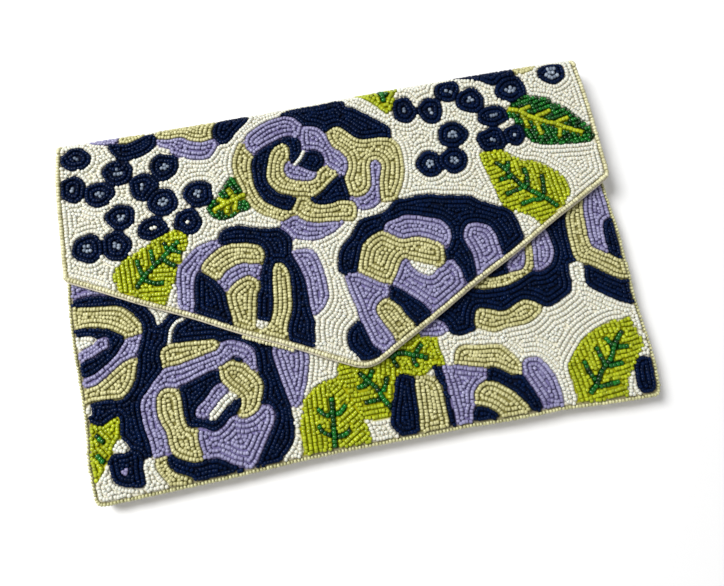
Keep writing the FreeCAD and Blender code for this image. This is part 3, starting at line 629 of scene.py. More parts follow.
def run_distance(marks, lead, axis):
    """Steps along one axis to the nearest mark; a mark lies lead before its own cell."""
    m = marks if axis == 0 else marks.T
    out = np.full((m.shape[0] + (lead > 0), m.shape[1]), FAR, np.float32)
    n = out.shape[0]
    g = np.full(m.shape[1], FAR, np.float32)
    for i in range(1 if lead else 0, n):
        g = np.where(m[i - 1] if lead else m[i], lead, g + 1)
        out[i] = g
    g = np.full(m.shape[1], FAR, np.float32)
    for i in range(n - 2 if lead else n - 1, -1, -1):
        g = np.where(m[i], lead, g + 1)
        out[i] = np.minimum(out[i], g)
    return out if axis == 0 else out.T


def edge_distance(ids, step, reach=25.0):
    """Distance from each point of the plan to the nearest outline."""
    v = run_distance(ids[1:] != ids[:-1], 0.5, 0)
    h = run_distance(ids[:, 1:] != ids[:, :-1], 0.5, 1)
    d = shift_min(v, np.minimum(h, v), int(reach / step)) * step
    for _ in range(2):
        for ax in (0, 1):
            d = (np.roll(d, 1, ax) + 2 * d + np.roll(d, -1, ax)) / 4
    return d


def contours(d, level):
    """Closed lines where d equals level, in grid steps."""
    s = d > level
    ny, nx = d.shape
    h, v = s[:, 1:] != s[:, :-1], s[1:] != s[:-1]
    cell = np.stack([h[:-1], h[1:], v[:, :-1], v[:, 1:]])
    i, j = np.nonzero(cell.any(0))
    used = cell[:, i, j]
    n = ny * nx
    ids = np.stack([i * nx + j, (i + 1) * nx + j, n + i * nx + j, n + i * nx + j + 1])
    two = used.sum(0) == 2
    order = np.argsort(~used[:, two], axis=0, kind="stable")[:2]
    pairs = [np.take_along_axis(ids[:, two], order, 0).T]
    pairs += [ids[np.ix_(k, ~two)].T for k in ((0, 2), (1, 3))]
    next_to = {}
    for a, b in np.vstack(pairs).tolist():
        next_to.setdefault(a, []).append(b)
        next_to.setdefault(b, []).append(a)
    lines = []
    while next_to:
        start = next(iter(next_to))
        line, at = [start], start
        while True:
            links = next_to.get(at)
            if not links:
                next_to.pop(at, None)
                break
            to = links.pop()
            if not links:
                next_to.pop(at, None)
            back = next_to.get(to)
            if back and at in back:
                back.remove(at)
                if not back:
                    next_to.pop(to)
            if to == start:
                break
            line.append(to)
            at = to
        if len(line) > 3:
            e = np.array(line)
            up = e >= n
            e = np.where(up, e - n, e)
            y, x = e // nx, e % nx
            a, b = d[y, x], d[y + up, x + ~up]
            t = np.clip((level - a) / np.where(a == b, 1, b - a), 0, 1)
            lines.append(np.stack([x + t * ~up, y + t * up], -1))
    return lines


def settle(panel):
    """Stretches too thin for a row of beads go to the colours beside them, as the embroiderer would."""
    ids = panel.ids
    d = edge_distance(ids, panel.step)
    strung = np.array([c[0] == "-" for c in panel.colours] + [True])[ids]
    known = (d > HALF_ROW) | strung | (ids < 0)
    new = np.where(known, ids, -2)
    for _ in range(9):
        for r, ax in ((1, 0), (-1, 0), (1, 1), (-1, 1)):
            by = np.roll(new, r, ax)
            new = np.where((new == -2) & (by > -1) & ~np.roll(strung, r, ax), by, new)
    panel.ids = np.where(new == -2, ids, new)


class Beads:
    """Placed beads: plan position, direction along the thread, size and colour."""

    def __init__(self):
        self.rows, self.cells = [], {}

    def free(self, x, y, tx, ty, gap):
        i, j = int(x // CELL), int(y // CELL)
        k = math.hypot(tx, ty)
        c, s = tx / k / ALONG, ty / k / ALONG
        e, f = tx / k / ROW, ty / k / ROW
        for a in (i - 1, i, i + 1):
            for b in (j - 1, j, j + 1):
                for u, v in self.cells.get((a, b), ()):
                    u, v = u - x, v - y
                    if (u * c + v * s) ** 2 + (v * e - u * f) ** 2 < gap * gap:
                        return False
        return True

    def add(self, x, y, tx, ty, colour, size=1.0, gap=.80):
        """gap is how near a neighbour may be, as a share of a bead's length and width."""
        if self.free(x, y, tx, ty, gap):
            self.cells.setdefault((int(x // CELL), int(y // CELL)), []).append((x, y))
            self.rows.append((x, y, tx, ty, size, GLASS.index(colour)))


def lay_strings(panel, out):
    """The rows that are drawn one by one."""
    for p, colour, size in panel.strings:
        length = along(p)
        n = max(2, round(length[-1] / (ALONG * size * .98)))
        at = (np.arange(n) + .5) * length[-1] / n
        x, y = (np.interp(at, length, p[:, k]) for k in (0, 1))
        for q in zip(x, y, np.gradient(x), np.gradient(y)):
            if panel.ids[panel.cell(q[0], q[1])] >= 0:
                out.add(*q, colour, size, gap=.6)


def lay_leaves(panel, d, out):
    """Straight rows, at one angle on each side of a leaf's rib."""
    for k, (((x0, y0), (x1, y1)), turns) in panel.straight.items():
        i, j = np.nonzero(panel.ids == k)
        mid = panel.lo + panel.step * np.array([j.mean(), i.mean()])
        for left, a in zip((True, False), turns):
            c, s = math.cos(a), math.sin(a)
            for v in np.arange(-LEAF_REACH, LEAF_REACH, ROW):
                for u in np.arange(-LEAF_REACH, LEAF_REACH, ALONG) + rng.random() * ALONG:
                    x, y = mid + (u * c - v * s, u * s + v * c) + rng.normal(0, .06, 2)
                    i, j = panel.cell(x, y)
                    inside = 0 < i < panel.ny and 0 < j < panel.nx and panel.ids[i, j] == k and d[i, j] > .85
                    if inside and ((x1 - x0) * (y - y0) > (y1 - y0) * (x - x0)) == left:
                        out.add(x, y, c, s, panel.colours[k])


def lay_contours(panel, d, out):
    """Rows that follow the outlines, one inside another."""
    level = .5
    while level * ROW < d.max():
        for line in contours(d, level * ROW):
            k = panel.ids[int(round(line[0, 1])), int(round(line[0, 0]))]
            if k < 0 or panel.colours[k][0] == "-" or k in panel.straight:
                continue
            line = line * panel.step + panel.lo
            if len(line) > 12:
                line = sum(np.roll(line, r, 0) * w for r, w in zip(range(-3, 4), SOFTEN))
            loop = np.vstack([line, line[:1]])
            length = along(loop)
            total = length[-1]
            if total < 3.2:     # room for one bead
                out.add(*line.mean(0), 1, 0, panel.colours[k])
                continue
            n = max(2, round(total / ALONG))
            at = (np.arange(n) + rng.random() + rng.normal(0, .05, n)) * total / n % total
            x, y = (np.interp(at, length, loop[:, a]) for a in (0, 1))
            u, w = (np.interp((at + .5) % total, length, loop[:, a]) for a in (0, 1))
            for q in zip(x, y, u - x, w - y):
                out.add(*q, panel.colours[k])
        level += 1


def close_gaps(panel, d, out):
    """Single beads where rows meet and leave room."""
    lo, step = panel.lo, panel.step
    for need in (1.9, 1.55):
        seeds = np.zeros(d.shape, bool)
        j, i = np.round((np.array(out.rows)[:, :2] - lo) / step).astype(int).T
        seeds[i, j] = True
        e = shift_min(run_distance(seeds, 0, 0), np.full(d.shape, 60.0), 14) * step
        i, j = np.nonzero((e > need) & (e < 15) & (d > .7) & (panel.ids >= 0))
        for q in np.argsort(-e[i, j], kind="stable"):
            a, c = i[q], j[q]
            colour = panel.colours[panel.ids[a, c]]
            if colour[0] != "-":
                gx, gy = d[a, c + 1] - d[a, c - 1], d[a + 1, c] - d[a - 1, c]
                out.add(c * step + lo[0], a * step + lo[1], -gy + 1e-4, gx, colour, gap=.78)


def lay_beads(panel):
    """Fills the panel with rows, then colours the middles of the berries."""
    settle(panel)
    out = Beads()
    lay_strings(panel, out)
    d = edge_distance(panel.ids, panel.step)
    d[panel.ids < 0] = 0
    lay_leaves(panel, d, out)
    lay_contours(panel, d, out)
    close_gaps(panel, d, out)
    b = np.array(out.rows)
    navy = GLASS.index("N")
    for x, y, rx, ry, colour in panel.centres:
        near = ((b[:, 0] - x) / rx) ** 2 + ((b[:, 1] - y) / ry) ** 2 < 1
        if not near.any():
            near = np.arange(len(b)) == np.argmin(np.hypot(b[:, 0] - x, b[:, 1] - y))
        b[near & (b[:, 5] == navy), 5] = GLASS.index(colour)
    b[:, 2:4] = unit(b[:, 2:4])
    jitter = np.where(b[:, 5] == navy, .08, .1)[:, None]
    b[:, :2] += rng.normal(0, 1, (len(b), 2)) * jitter
    return b


# ---------------------------------------------------------------- meshes
def mesh_object(name, verts, faces, material, smooth=True):
    """faces is a list of arrays of the same number of corners each."""
    me = bpy.data.meshes.new(name)
    verts = (lean(verts) * UNIT).astype(np.float32)
    me.vertices.add(len(verts))
    me.vertices.foreach_set("co", verts.ravel())
    loops = np.concatenate([np.asarray(f, np.int32).ravel() for f in faces])
    sizes = np.concatenate([np.full(len(f), np.shape(f)[1], np.int32) for f in faces])
    me.loops.add(len(loops))
    me.loops.foreach_set("vertex_index", loops)
    me.polygons.add(len(sizes))
    starts = np.r_[0, np.cumsum(sizes)[:-1]].astype(np.int32)
    me.polygons.foreach_set("loop_start", starts)
    me.polygons.foreach_set("use_smooth", np.full(len(sizes), smooth))
    me.update(calc_edges=True)
    me.validate()
    ob = bpy.data.objects.new(name, me)
    bpy.context.scene.collection.objects.link(ob)
    me.materials.append(material)
    return ob


def per_point(ob, name, kind, field, values):
    a = ob.data.attributes.new(name, kind, "POINT")
    a.data.foreach_set(field, np.ravel(values).astype(np.float32))


def bead_form(half=0.86, radius=1.30, low=.72, end=.70):
    """A short glass ring with rounded ends, thread along u, sunk a little in the cloth."""
    us = np.array([-1.0, -.60, .60, 1.0]) * half
    rs = np.array([end, 1.0, 1.0, end]) * radius
    angles = np.radians([-35, 42, 90, 138, 215])
    v = [(u, r * math.cos(a), r * math.sin(a) * low) for u, r in zip(us, rs) for a in angles]
    quads = [(i * 5 + k, i * 5 + k + 1, i * 5 + k + 6, i * 5 + k + 5) for i in range(3) for k in range(4)]
    quads += [(i * 5 + 4, i * 5, i * 5 + 5, i * 5 + 9) for i in range(3)]
    ends = [(4, 3, 2, 1, 0), (15, 16, 17, 18, 19)]
    return np.array(v), np.array(quads)[:, ::-1], np.array(ends)[:, ::-1]


FORM = bead_form()
SMOOTH = bead_form(end=.84)
CHIP = bead_form(end=.55, low=.8)
LONGEST = 1.2           # big beads are wider but no longer than this, next to a plain one


def bead_object(name, material, p, t, n, size, shade, form=FORM, top_highlight=.12):
    """One mesh of beads at points p, threaded along t, standing on n. The last argument is a painted
    highlight on their tops and painted shade on their sides.
    """
    n = unit(n)
    t = unit(t - (t * n).sum(1, keepdims=True) * n)
    b = np.cross(n, t)
    v, quads, ends = form
    wide = size[:, None, None] * (1 + rng.normal(0, .035, (len(p), 1, 1)))
    long = np.minimum(size, LONGEST)[:, None, None] * (1 + rng.normal(0, .05, (len(p), 1, 1)))
    verts = (p[:, None] + t[:, None] * v[:, 0, None] * long + b[:, None] * v[:, 1, None] * wide
             + n[:, None] * v[:, 2, None] * wide)
    k = len(v)
    start = (np.arange(len(p)) * k)[:, None, None]
    faces = [(quads + start).reshape(-1, 4), (ends + start).reshape(-1, 5)]
    ob = mesh_object(name, verts.reshape(-1, 3), faces, material)
    # painted light: each bead's top is made lighter as a highlight, its sides and underside darker as shade
    painted_highlight = np.tile((v[:, 2] / v[:, 2].max() - .6) * top_highlight * 2, len(p))
    per_point(ob, "shade", "FLOAT", "value", np.repeat(shade, k) + painted_highlight)
    return ob


def dress(ob, where, *nodes):
    """The piece takes the place of CAD nodes, and rides with the body its cloth belongs to; pieces marked
    upper or lower are only fixed where they lie.
    """
    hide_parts(*nodes)
    if where == "upper":
        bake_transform(ob)
    elif where == "lower":
        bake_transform(ob)
    else:
        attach(ob, where)


def sharp_rim(ob, angle=50):
    """Smooth shading that stops at edges sharper than the angle."""
    with bpy.context.temp_override(object=ob, active_object=ob, selected_objects=[ob],
                                   selected_editable_objects=[ob]):
        bpy.ops.object.shade_smooth_by_angle(angle=math.radians(angle))


def grid_slab(name, node_name, where, xs, ys, surface, outer, inner, material):
    """A thin closed slab that follows a surface, from outer to inner along its normal. xs(y) gives a row."""
    x = np.stack([xs(y) for y in ys])
    ny, nx = x.shape
    y = np.repeat(ys[:, None], nx, 1)
    p, n = surface(x, y)
    top, low = (p + n * outer).reshape(-1, 3), (p + n * inner).reshape(-1, 3)
    m = nx * ny
    idx = np.arange(m).reshape(ny, nx)
    q = np.stack([idx[:-1, :-1], idx[:-1, 1:], idx[1:, 1:], idx[1:, :-1]], -1).reshape(-1, 4)
    rim = np.r_[idx[0], idx[1:, -1], idx[-1, -2::-1], idx[-2:0:-1, 0]]
    side = np.stack([rim, rim + m, np.roll(rim, -1) + m, np.roll(rim, -1)], -1)
    ob = mesh_object(name, np.vstack([top, low]), [q, q[:, ::-1] + m, side], material)
    sharp_rim(ob)
    dress(ob, where, node_name)
    return ob, np.stack([x.ravel(), y.ravel()], -1)


def loft(name, loops, material):
    """A closed tube of cross-sections, each a closed run of points."""
    v = np.asarray(loops, float)
    m, s = v.shape[:2]
    i, k = np.meshgrid(np.arange(m - 1), np.arange(s), indexing="ij")
    l = (k + 1) % s
    q = np.stack([i * s + k, i * s + l, (i + 1) * s + l, (i + 1) * s + k], -1).reshape(-1, 4)
    ends = np.array([np.arange(s)[::-1], np.arange(s) + (m - 1) * s])
    ob = mesh_object(name, v.reshape(-1, 3), [q, ends], material)
    return ob


def cord(name, path, radius, material, sides, high):
    """A cord along a run of 3-D points. high is its height as a share of its width."""
    t = unit(np.gradient(path, axis=0))
    side = unit(np.cross(t, np.array([0, 0, 1.0])))
    up = np.cross(side, t)
    a = np.linspace(0, 2 * np.pi, sides, endpoint=False)[:, None]
    ring = (side[:, None] * np.cos(a) + up[:, None] * np.sin(a) * high) * radius
    return loft(name, path[:, None] + ring, material)


# ---------------------------------------------------------------- materials
def material(name, **values):
    m = bpy.data.materials.new(name)
    m.use_nodes = True
    p = m.node_tree.nodes["Principled BSDF"]
    for key, v in values.items():
        p.inputs[key.replace("_", " ")].default_value = v
    return m, m.node_tree, p


def node(nt, kind, **values):
    n = nt.nodes.new(kind)
    for key, v in values.items():
        if key in n.inputs:
            n.inputs[key].default_value = v
        else:
            setattr(n, key, v)
    return n


def mix(nt, factor, a, b, blend="MIX"):
    n = node(nt, "ShaderNodeMix", data_type="RGBA", blend_type=blend)
    for socket, v in ((n.inputs[0], factor), (n.inputs[6], a), (n.inputs[7], b)):
        if isinstance(v, bpy.types.NodeSocket):
            nt.links.new(v, socket)
        else:
            socket.default_value = v if isinstance(v, (int, float)) else (*v, 1)
    return n.outputs[2]


def ranged(nt, source, low, high, start=0.0, end=1.0):
    """A value from start to end becomes one from low to high."""
    n = node(nt, "ShaderNodeMapRange")
    nt.links.new(source, n.inputs[0])
    for i, v in enumerate((start, end, low, high), 1):
        n.inputs[i].default_value = v
    return n.outputs[0]


def combined(nt, operation, a, b, **values):
    n = node(nt, "ShaderNodeMath", operation=operation, **values)
    nt.links.new(a, n.inputs[0])
    nt.links.new(b, n.inputs[1])
    return n.outputs[0]


def texture(nt, kind, where, **values):
    n = node(nt, kind, **values)
    nt.links.new(where.outputs["Object"], n.inputs["Vector"])
    return n.outputs["Fac"]


def bump(nt, p, height, strength, distance):
    n = node(nt, "ShaderNodeBump", Strength=strength, Distance=distance)
    nt.links.new(height, n.inputs["Height"])
    nt.links.new(n.outputs[0], p.inputs["Normal"])


def bead_material(name, deep, pale, rough, coat, **more):
    """Glass beads that differ a little one from the next, with cloudy lots over the panel."""
    m, nt, p = material(name, Coat_Weight=coat, Coat_Roughness=.08, **more)
    p.inputs["Subsurface Radius"].default_value = (.9, .8, .7)
    p.inputs["Subsurface Scale"].default_value = .0011
    # the "shade" attribute holds each bead's own tone plus a painted highlight on its top and painted shade
    # on its sides
    shade = node(nt, "ShaderNodeAttribute", attribute_name="shade")
    where = node(nt, "ShaderNodeTexCoord")
    cloud = texture(nt, "ShaderNodeTexNoise", where, Scale=95.0, Detail=3.0)
    lot = ranged(nt, cloud, -.12, .12, .35, .65)
    both = combined(nt, "ADD", shade.outputs["Fac"], lot, use_clamp=True)
    nt.links.new(mix(nt, both, deep, pale), p.inputs["Base Color"])
    nt.links.new(ranged(nt, both, rough * 1.35, rough * .75), p.inputs["Roughness"])
    return m


def cloth_material(name, deep, pale, rough, thread=.35, weave=.25, sheen=.0, painted=False, satin=False):
    """Woven cloth: two directions of thread in the bump, and slubs in the colour. thread is a pitch."""
    gloss = .1 if painted else .5
    m, nt, p = material(name, Sheen_Weight=sheen, Sheen_Roughness=.4, Specular_IOR_Level=gloss)
    where = node(nt, "ShaderNodeTexCoord")
    waves = [texture(nt, "ShaderNodeTexWave", where, bands_direction=axis, Distortion=.6, Detail=1.0,
                     Scale=math.pi / 10 / (pitch * UNIT))
             for axis, pitch in (("X", thread), ("Y", thread * (3.2 if satin else 1)))]
    both = combined(nt, "ADD" if satin else "MULTIPLY", *waves)
    slub = texture(nt, "ShaderNodeTexNoise", where, Scale=160.0, Detail=4.0, Roughness=.6)
    tone = node(nt, "ShaderNodeMath", operation="MULTIPLY_ADD")
    nt.links.new(both, tone.inputs[0])
    tone.inputs[1].default_value = .35
    nt.links.new(slub, tone.inputs[2])
    colour = mix(nt, tone.outputs[0], deep, pale)
    if painted:
        # the painted colour: the thread's colour under the beads, with painted shade for the gaps between
        # them
        paint = node(nt, "ShaderNodeAttribute", attribute_name="ground").outputs["Color"]
        colour = mix(nt, .55, paint, mix(nt, 1.0, paint, colour, "MULTIPLY"))
    nt.links.new(colour, p.inputs["Base Color"])
    nt.links.new(ranged(nt, slub, rough * .85, rough * 1.1), p.inputs["Roughness"])
    bump(nt, p, both, weave, .00012)
    return m


def metal_material(name, deep, pale, rough):
    """Polished plating with faint brushed lines."""
    m, nt, p = material(name, Metallic=1.0)
    where = node(nt, "ShaderNodeTexCoord")
    rub = texture(nt, "ShaderNodeTexNoise", where, Scale=900.0, Detail=4.0, Roughness=.65)
    nt.links.new(mix(nt, rub, deep, pale), p.inputs["Base Color"])
    nt.links.new(ranged(nt, rub, rough * .7, rough * 1.4), p.inputs["Roughness"])
    bump(nt, p, rub, .05, .00005)
    return m


# letter: name, deep and pale colour, roughness, coat, specular level
GLASSES = {
    "N": ("navy", (.0006, .0038, .015), (.0022, .010, .047), .3, .03, .06),
    "L": ("lavender", (.128, .110, .245), (.33, .32, .50), .36, .1, .3),
    "B": ("slate", (.075, .105, .16), (.30, .36, .44), .36, .1, .3),
    "K": ("khaki", (.37, .345, .13), (.65, .62, .315), .4, .12, .5),
    "G": ("lime", (.20, .24, .002), (.48, .55, .013), .32, .2, .25),
    "E": ("emerald", (.0005, .017, .001), (.0065, .168, .0135), .2, .3, .3),
}
IVORY = bead_material("ivory_glass", (.67, .66, .55), (.75, .75, .66), .5, .03, Subsurface_Weight=.8)
# letter: name of the piece, slot, material
BEADS = {"I": ("ivory_beads", "ivory_beads", IVORY), "W": ("white", "ivory_beads", IVORY)}
for letter, (name, *look, gloss) in GLASSES.items():
    glass = bead_material(f"{name}_glass", *look, Specular_IOR_Level=gloss)
    BEADS[letter] = (f"{name}_beads", f"{name}_beads", glass)
BEADS["B"] = ("slate", "lavender_beads", BEADS["B"][2])
# middle and spread of the shade from bead to bead, and how strong the painted highlight on their tops and
# painted shade on their sides are
PLAIN_SHADE = (.5, 1, .12)
SHADES = {"L": (.48, .8, .4), "G": (.5, .9, .24), "E": (.4, 1.9, .2), "W": (1, 0, .12), "B": (.5, 1.5, .2)}
# colour of cloth and thread that shows between the beads, and where there are none; set to how dark the gaps
# look, so it is partly the thread's colour and partly painted shade between the beads
THREAD_AND_GAP_SHADE = {"I": (.86, .83, .68), "N": (.002, .004, .016), "L": (.22, .19, .40), "K": (.26, .235, .07),
         "G": (.40, .40, .004), "E": (.001, .03, .002), "W": (.7, .68, .55), "B": (.01, .02, .05)}
BARE = (.30, .27, .16)
EDGE_GLASS = bead_material("edging_glass", (.50, .47, .25), (.80, .77, .50), .36, .18)
RIM_GLASS = bead_material("rim_glass", (.38, .37, .17), (.68, .66, .36), .36, .18)
GROUND = cloth_material("ground_weave", (.55, .55, .55), (1, 1, 1), .85, painted=True)
SATIN = cloth_material("champagne_satin", (.50, .44, .31), (.72, .66, .50), .42, .12, .3, .25, satin=True)
LINING = cloth_material("lining_satin", (.58, .53, .41), (.80, .75, .62), .46, .14, .3, .2, satin=True)
BOARD = cloth_material("bonded_board", (.62, .61, .57), (.84, .83, .79), .9, .5, .5)
CORD = cloth_material("lip_cord", (.62, .58, .44), (.86, .82, .68), .6, .3, .6)
BRASS = metal_material("plated_brass", (.72, .54, .26), (.86, .70, .42), .22)
FERRITE = metal_material("ferrite", (.05, .05, .055), (.12, .12, .13), .5)

# ---------------------------------------------------------------- beadwork
flap_plan, front_plan = flap_artwork(), front_artwork()
flap_beads, front_beads = lay_beads(flap_plan), lay_beads(front_plan)
BEAD_END = LOW_ARC + 4.6        # the beads stop part of the way round the lower corner
FRONT_SPLIT = -50               # the front's beads are two lots of meshes, over and under this line
SEAT = .52                      # height of a bead's middle over the cloth
UNEVEN, TIPPED, MIXED = .05, .07, .2    # spread of a bead's height, tilt and shade
EDGE_PITCH, FOLD_PITCH = 1.82, 1.66
# parts of the fold: name, from and to along the cloth, how it moves
FOLD = (("turn", FLAT_END, FLAT_END + ARC, "upper"),
        ("spine", FLAT_END + ARC, LOW_ARC, "fold"),
        ("under", LOW_ARC, LOW_ARC + ARC, "lower"))


def below(path, y):
    return path[path[:, 1] < y]


def heading(path):
    """Direction along an open path, and the direction inwards from it."""
    t = unit(np.gradient(path, axis=0))
    return t, np.stack([-t[:, 1], t[:, 0]], -1)


def in_space(v):
    """Plan directions as directions in space."""
    return np.c_[v, np.zeros(len(v))]


def string_beads(rows, surface, prefix, areas):
    """One panel's beads, a mesh for each glass in each area: (name, from, to, how it moves, CAD node)."""
    x, y, tx, ty, size, glass = rows.T
    p, n = surface(x, y)
    t = surface(x + tx * .2, y + ty * .2)[0] - p
    p = p + n * (SEAT * np.sqrt(size) + rng.normal(0, UNEVEN, len(rows)))[:, None]
    n = n + rng.normal(0, TIPPED, n.shape)
    vary = rng.normal(0, MIXED, len(rows))
    for area, lo, hi, where, node_name in areas:
        for k, c in enumerate(GLASS):
            m = (glass == k) & (y >= lo) & (y < hi)
            if m.any():
                called, slot, mat = BEADS[c]
                middle, spread, top_highlight = SHADES.get(c, PLAIN_SHADE)
                shade = np.clip(middle + vary[m] * spread, 0, 1)
                ob = bead_object(f"{prefix}_{area}_{called}", mat, p[m], t[m], n[m], size[m], shade,
                                 form=SMOOTH if c in "LGN" else FORM, top_highlight=top_highlight)
                dress(ob, where, node_name)


string_beads(front_beads, on_front, "front",
             (("upper", FRONT_SPLIT, MOUTH, "bag", "front_beadwork"),
              ("lower", -math.inf, FRONT_SPLIT, "bag", "front_beadwork")))
string_beads(below(flap_beads, BEAD_END), on_flap, "flap",
             (("face", -math.inf, FLAT_END, "flap", "flap_beadwork"),
              *((*part, "fold_beadwork") for part in FOLD)))


def edging(name, q, surface, courses, material, node_name, where):
    """Rows of beads along an edge: (inset from it, height over the cloth, tilt outwards in degrees, size)."""
    t, inward = heading(q)
    ps, ns, sizes = [], [], []
    for inset, height, tilt, size in courses:
        p, n = surface(*(q + inward * 2).T)
        p[:, :2] = q + inward * inset
        a = math.radians(tilt)
        up = n * math.cos(a) - in_space(inward) * math.sin(a)
        ps.append(p + n * height)
        ns.append(up + rng.normal(0, .14, up.shape))
        sizes.append(np.full(len(q), size) * (1 + rng.normal(0, .04, len(q))))
    p = np.vstack(ps)
    p = p + rng.normal(0, .08, p.shape)
    shade = np.clip(rng.normal(.5, .24, len(p)), 0, 1)
    t = np.vstack([in_space(t)] * len(courses))
    ob = bead_object(name, material, p, t, np.vstack(ns), np.concatenate(sizes), shade,
                     form=CHIP)
    dress(ob, where, node_name)


round_flap, round_front = dense(flap_outline(), EDGE_PITCH), dense(front_outline(), EDGE_PITCH)
edging("flap_edging_beads", below(round_flap, FLAT_END - .3), on_flap, ((1.75, .30, 10, 1.04),), EDGE_GLASS,
       "flap_edging", "flap")
x, y = round_flap.T
edging("flap_under_row", round_flap[(x > -64) & (x < -37) & (y < 0)], on_flap, ((-.9, -1.75, 30, .95),),
       EDGE_GLASS, "flap_edging", "flap")
edging("body_edging_beads", below(round_front, MOUTH - .6), on_front,
       ((1.05, 0, 34, .88), (.6, -1.3, 75, .88)), RIM_GLASS, "body_edging", "bag")
for area, lo, hi, where in FOLD:
    s = np.arange(lo + FOLD_PITCH / 2, min(hi, BEAD_END), FOLD_PITCH)
    x = np.r_[flap_left(s) + 1.35, flap_right(s) - 1.35]
    s = np.r_[s, s]
    p, n = on_flap(x, s)
    t = on_flap(x, s + .3)[0] - p
    ob = bead_object(f"fold_edging_{area}", EDGE_GLASS, p + n * .42, t, n, np.ones(len(p)),
                     np.clip(rng.normal(.5, .2, len(p)), 0, 1))
    dress(ob, where, "fold_beadwork")

# ---------------------------------------------------------------- cloth, boards, lining
CLOTH = .6              # thickness of the ground cloths
UNDER_CLOTH = -.62      # just below them
GROUND_IN, LINING_IN = .9, 1.5  # how far in from the flap's edge its ground cloth and lining end


def levels(low, first, top, count):
    """Heights of rows: close together at the low end, then even."""
    return np.r_[low + np.array(first[:-1]), np.linspace(low + first[-1], top, count)]


def front_row(inset, count, r=6.0):
    """Rows across the bag, cut back by the radius of its lower corners."""
    def row(y):
        above = y - (BODY_LOW + inset)
        cut = r - math.sqrt(max(0, r * r - max(0, r - above) ** 2)) if above < r else 0
        return np.linspace(body_left(y) + inset + cut, body_right(y) - inset - cut, count)
    return row


def flap_row(inset, count):
    """Rows across the flap, or the fold, and where the flap's point is."""
    edge = flap_outline(inset)
    tip = int(np.argmin(edge[:, 1]))
    left, right = edge[:tip + 1], edge[tip:]

    def row(y):
        lo, hi = flap_left(y) + inset, flap_right(y) - inset
        if y < LEFT_SHOULDER + SHOULDER:
            lo = np.interp(-y, -left[:, 1], left[:, 0])
        if y < RIGHT_SHOULDER + SHOULDER:
            hi = np.interp(y, right[:, 1], right[:, 0])
        return np.linspace(lo, hi, count)
    return row, float(edge[tip, 1])


def on_bow(x, y):
    """Where a level row really lies: near the bottom it takes up the edge's bow."""
    return y + bow(y) * (body_bottom(x) - BODY_LOW)


def bag_panel(name, node_name, surface, outer, inner, inset, top, across, count, material):
    """A slab of the bag's front or back, inset from its sides and bottom."""
    rows = levels(BODY_LOW + inset, (.05, .6, 1.5, 3, 5), top, count)
    return grid_slab(name, node_name, "bag", front_row(inset, across), rows,
                     lambda x, y: surface(x, on_bow(x, y)), outer, inner, material)


def flap_panel(name, node_name, outer, inner, inset, first, across, count, material):
    """A slab of the flap, inset from its edge. first gives its lowest rows, from the point up."""
    row, tip = flap_row(inset, across)
    return grid_slab(name, node_name, "flap", row, levels(tip, first, FLAT_END, count), on_flap, outer, inner,
                     material)


def paint_ground(ob, plan, x, y):
    """The cloth takes the colour of the thread used for the beads over it, with painted shade for the gaps
    between the beads.
    """
    j = np.clip(np.round((x - plan.lo[0]) / plan.step).astype(int), 0, plan.nx - 1)
    i = np.clip(np.round((y - plan.lo[1]) / plan.step).astype(int), 0, plan.ny - 1)
    table = np.array([(*THREAD_AND_GAP_SHADE[c[-1]], 1) for c in plan.colours] + [(*BARE, 1)])
    values = table[plan.ids[i, j]]
    per_point(ob, "ground", "FLOAT_COLOR", "color", [values, values])


def level_at(z):
    """A flat surface at one height."""
    def f(x, y):
        p = np.stack([x, y, z + 0 * x], -1)
        return p, np.zeros_like(p) + (0, 0, 1)
    return f


ob, at = bag_panel("front_ground_cloth", "front_cloth", on_front, 0, -CLOTH, .8, MOUTH, 230, 150, GROUND)
paint_ground(ob, front_plan, at[:, 0], on_bow(*at.T))
for name, node_name, outer, inner, inset, top, mat, slot in (
        ("front_stiffener", "front_board", UNDER_CLOTH, -1.65, 2.6, MOUTH - .6, BOARD, "board"),
        ("front_lining_satin", "front_lining", -1.67, -2.15, 2.2, MOUTH + .3, LINING, "lining")):
    bag_panel(name, node_name, on_front, outer, inner, inset, top, 90, 60, mat)

ob, at = flap_panel("flap_ground_cloth", "flap_cloth", 0, -CLOTH, GROUND_IN, (.05, .4, 1.2, 2.4), 200, 130,
                    GROUND)
paint_ground(ob, flap_plan, *at.T)
for name, node_name, outer, inner, inset, mat, slot in (
        ("flap_stiffener", "flap_board", UNDER_CLOTH, -1.55, 2.4, BOARD, "board"),
        ("flap_lining_satin", "flap_lining", -1.57, -2.08, LINING_IN, LINING, "lining")):
    flap_panel(name, node_name, outer, inner, inset, (.05, .5, 1.5, 3), 100, 64, mat)

for area, lo, hi, where in FOLD:
    rows = np.linspace(lo, hi, 5 if where == "fold" else 10)
    ob, at = grid_slab(f"fold_ground_{area}", "fold_cloth", where, flap_row(GROUND_IN, 200)[0], rows,
                       on_flap, 0, -CLOTH, GROUND)
    paint_ground(ob, flap_plan, *at.T)
    grid_slab(f"fold_lining_{area}", "fold_lining", where, flap_row(LINING_IN, 100)[0], rows, on_flap,
              UNDER_CLOTH, -1.15, LINING)


def hem(x, s):
    """From the inside of the flap's lining to the inside of the fold's."""
    p, n = on_flap(x, s)
    k = np.clip((s - FLAT_END + 3) / 6, 0, 1)[..., None]
    return p - n * (2.09 - .92 * k * k * (3 - 2 * k)), n


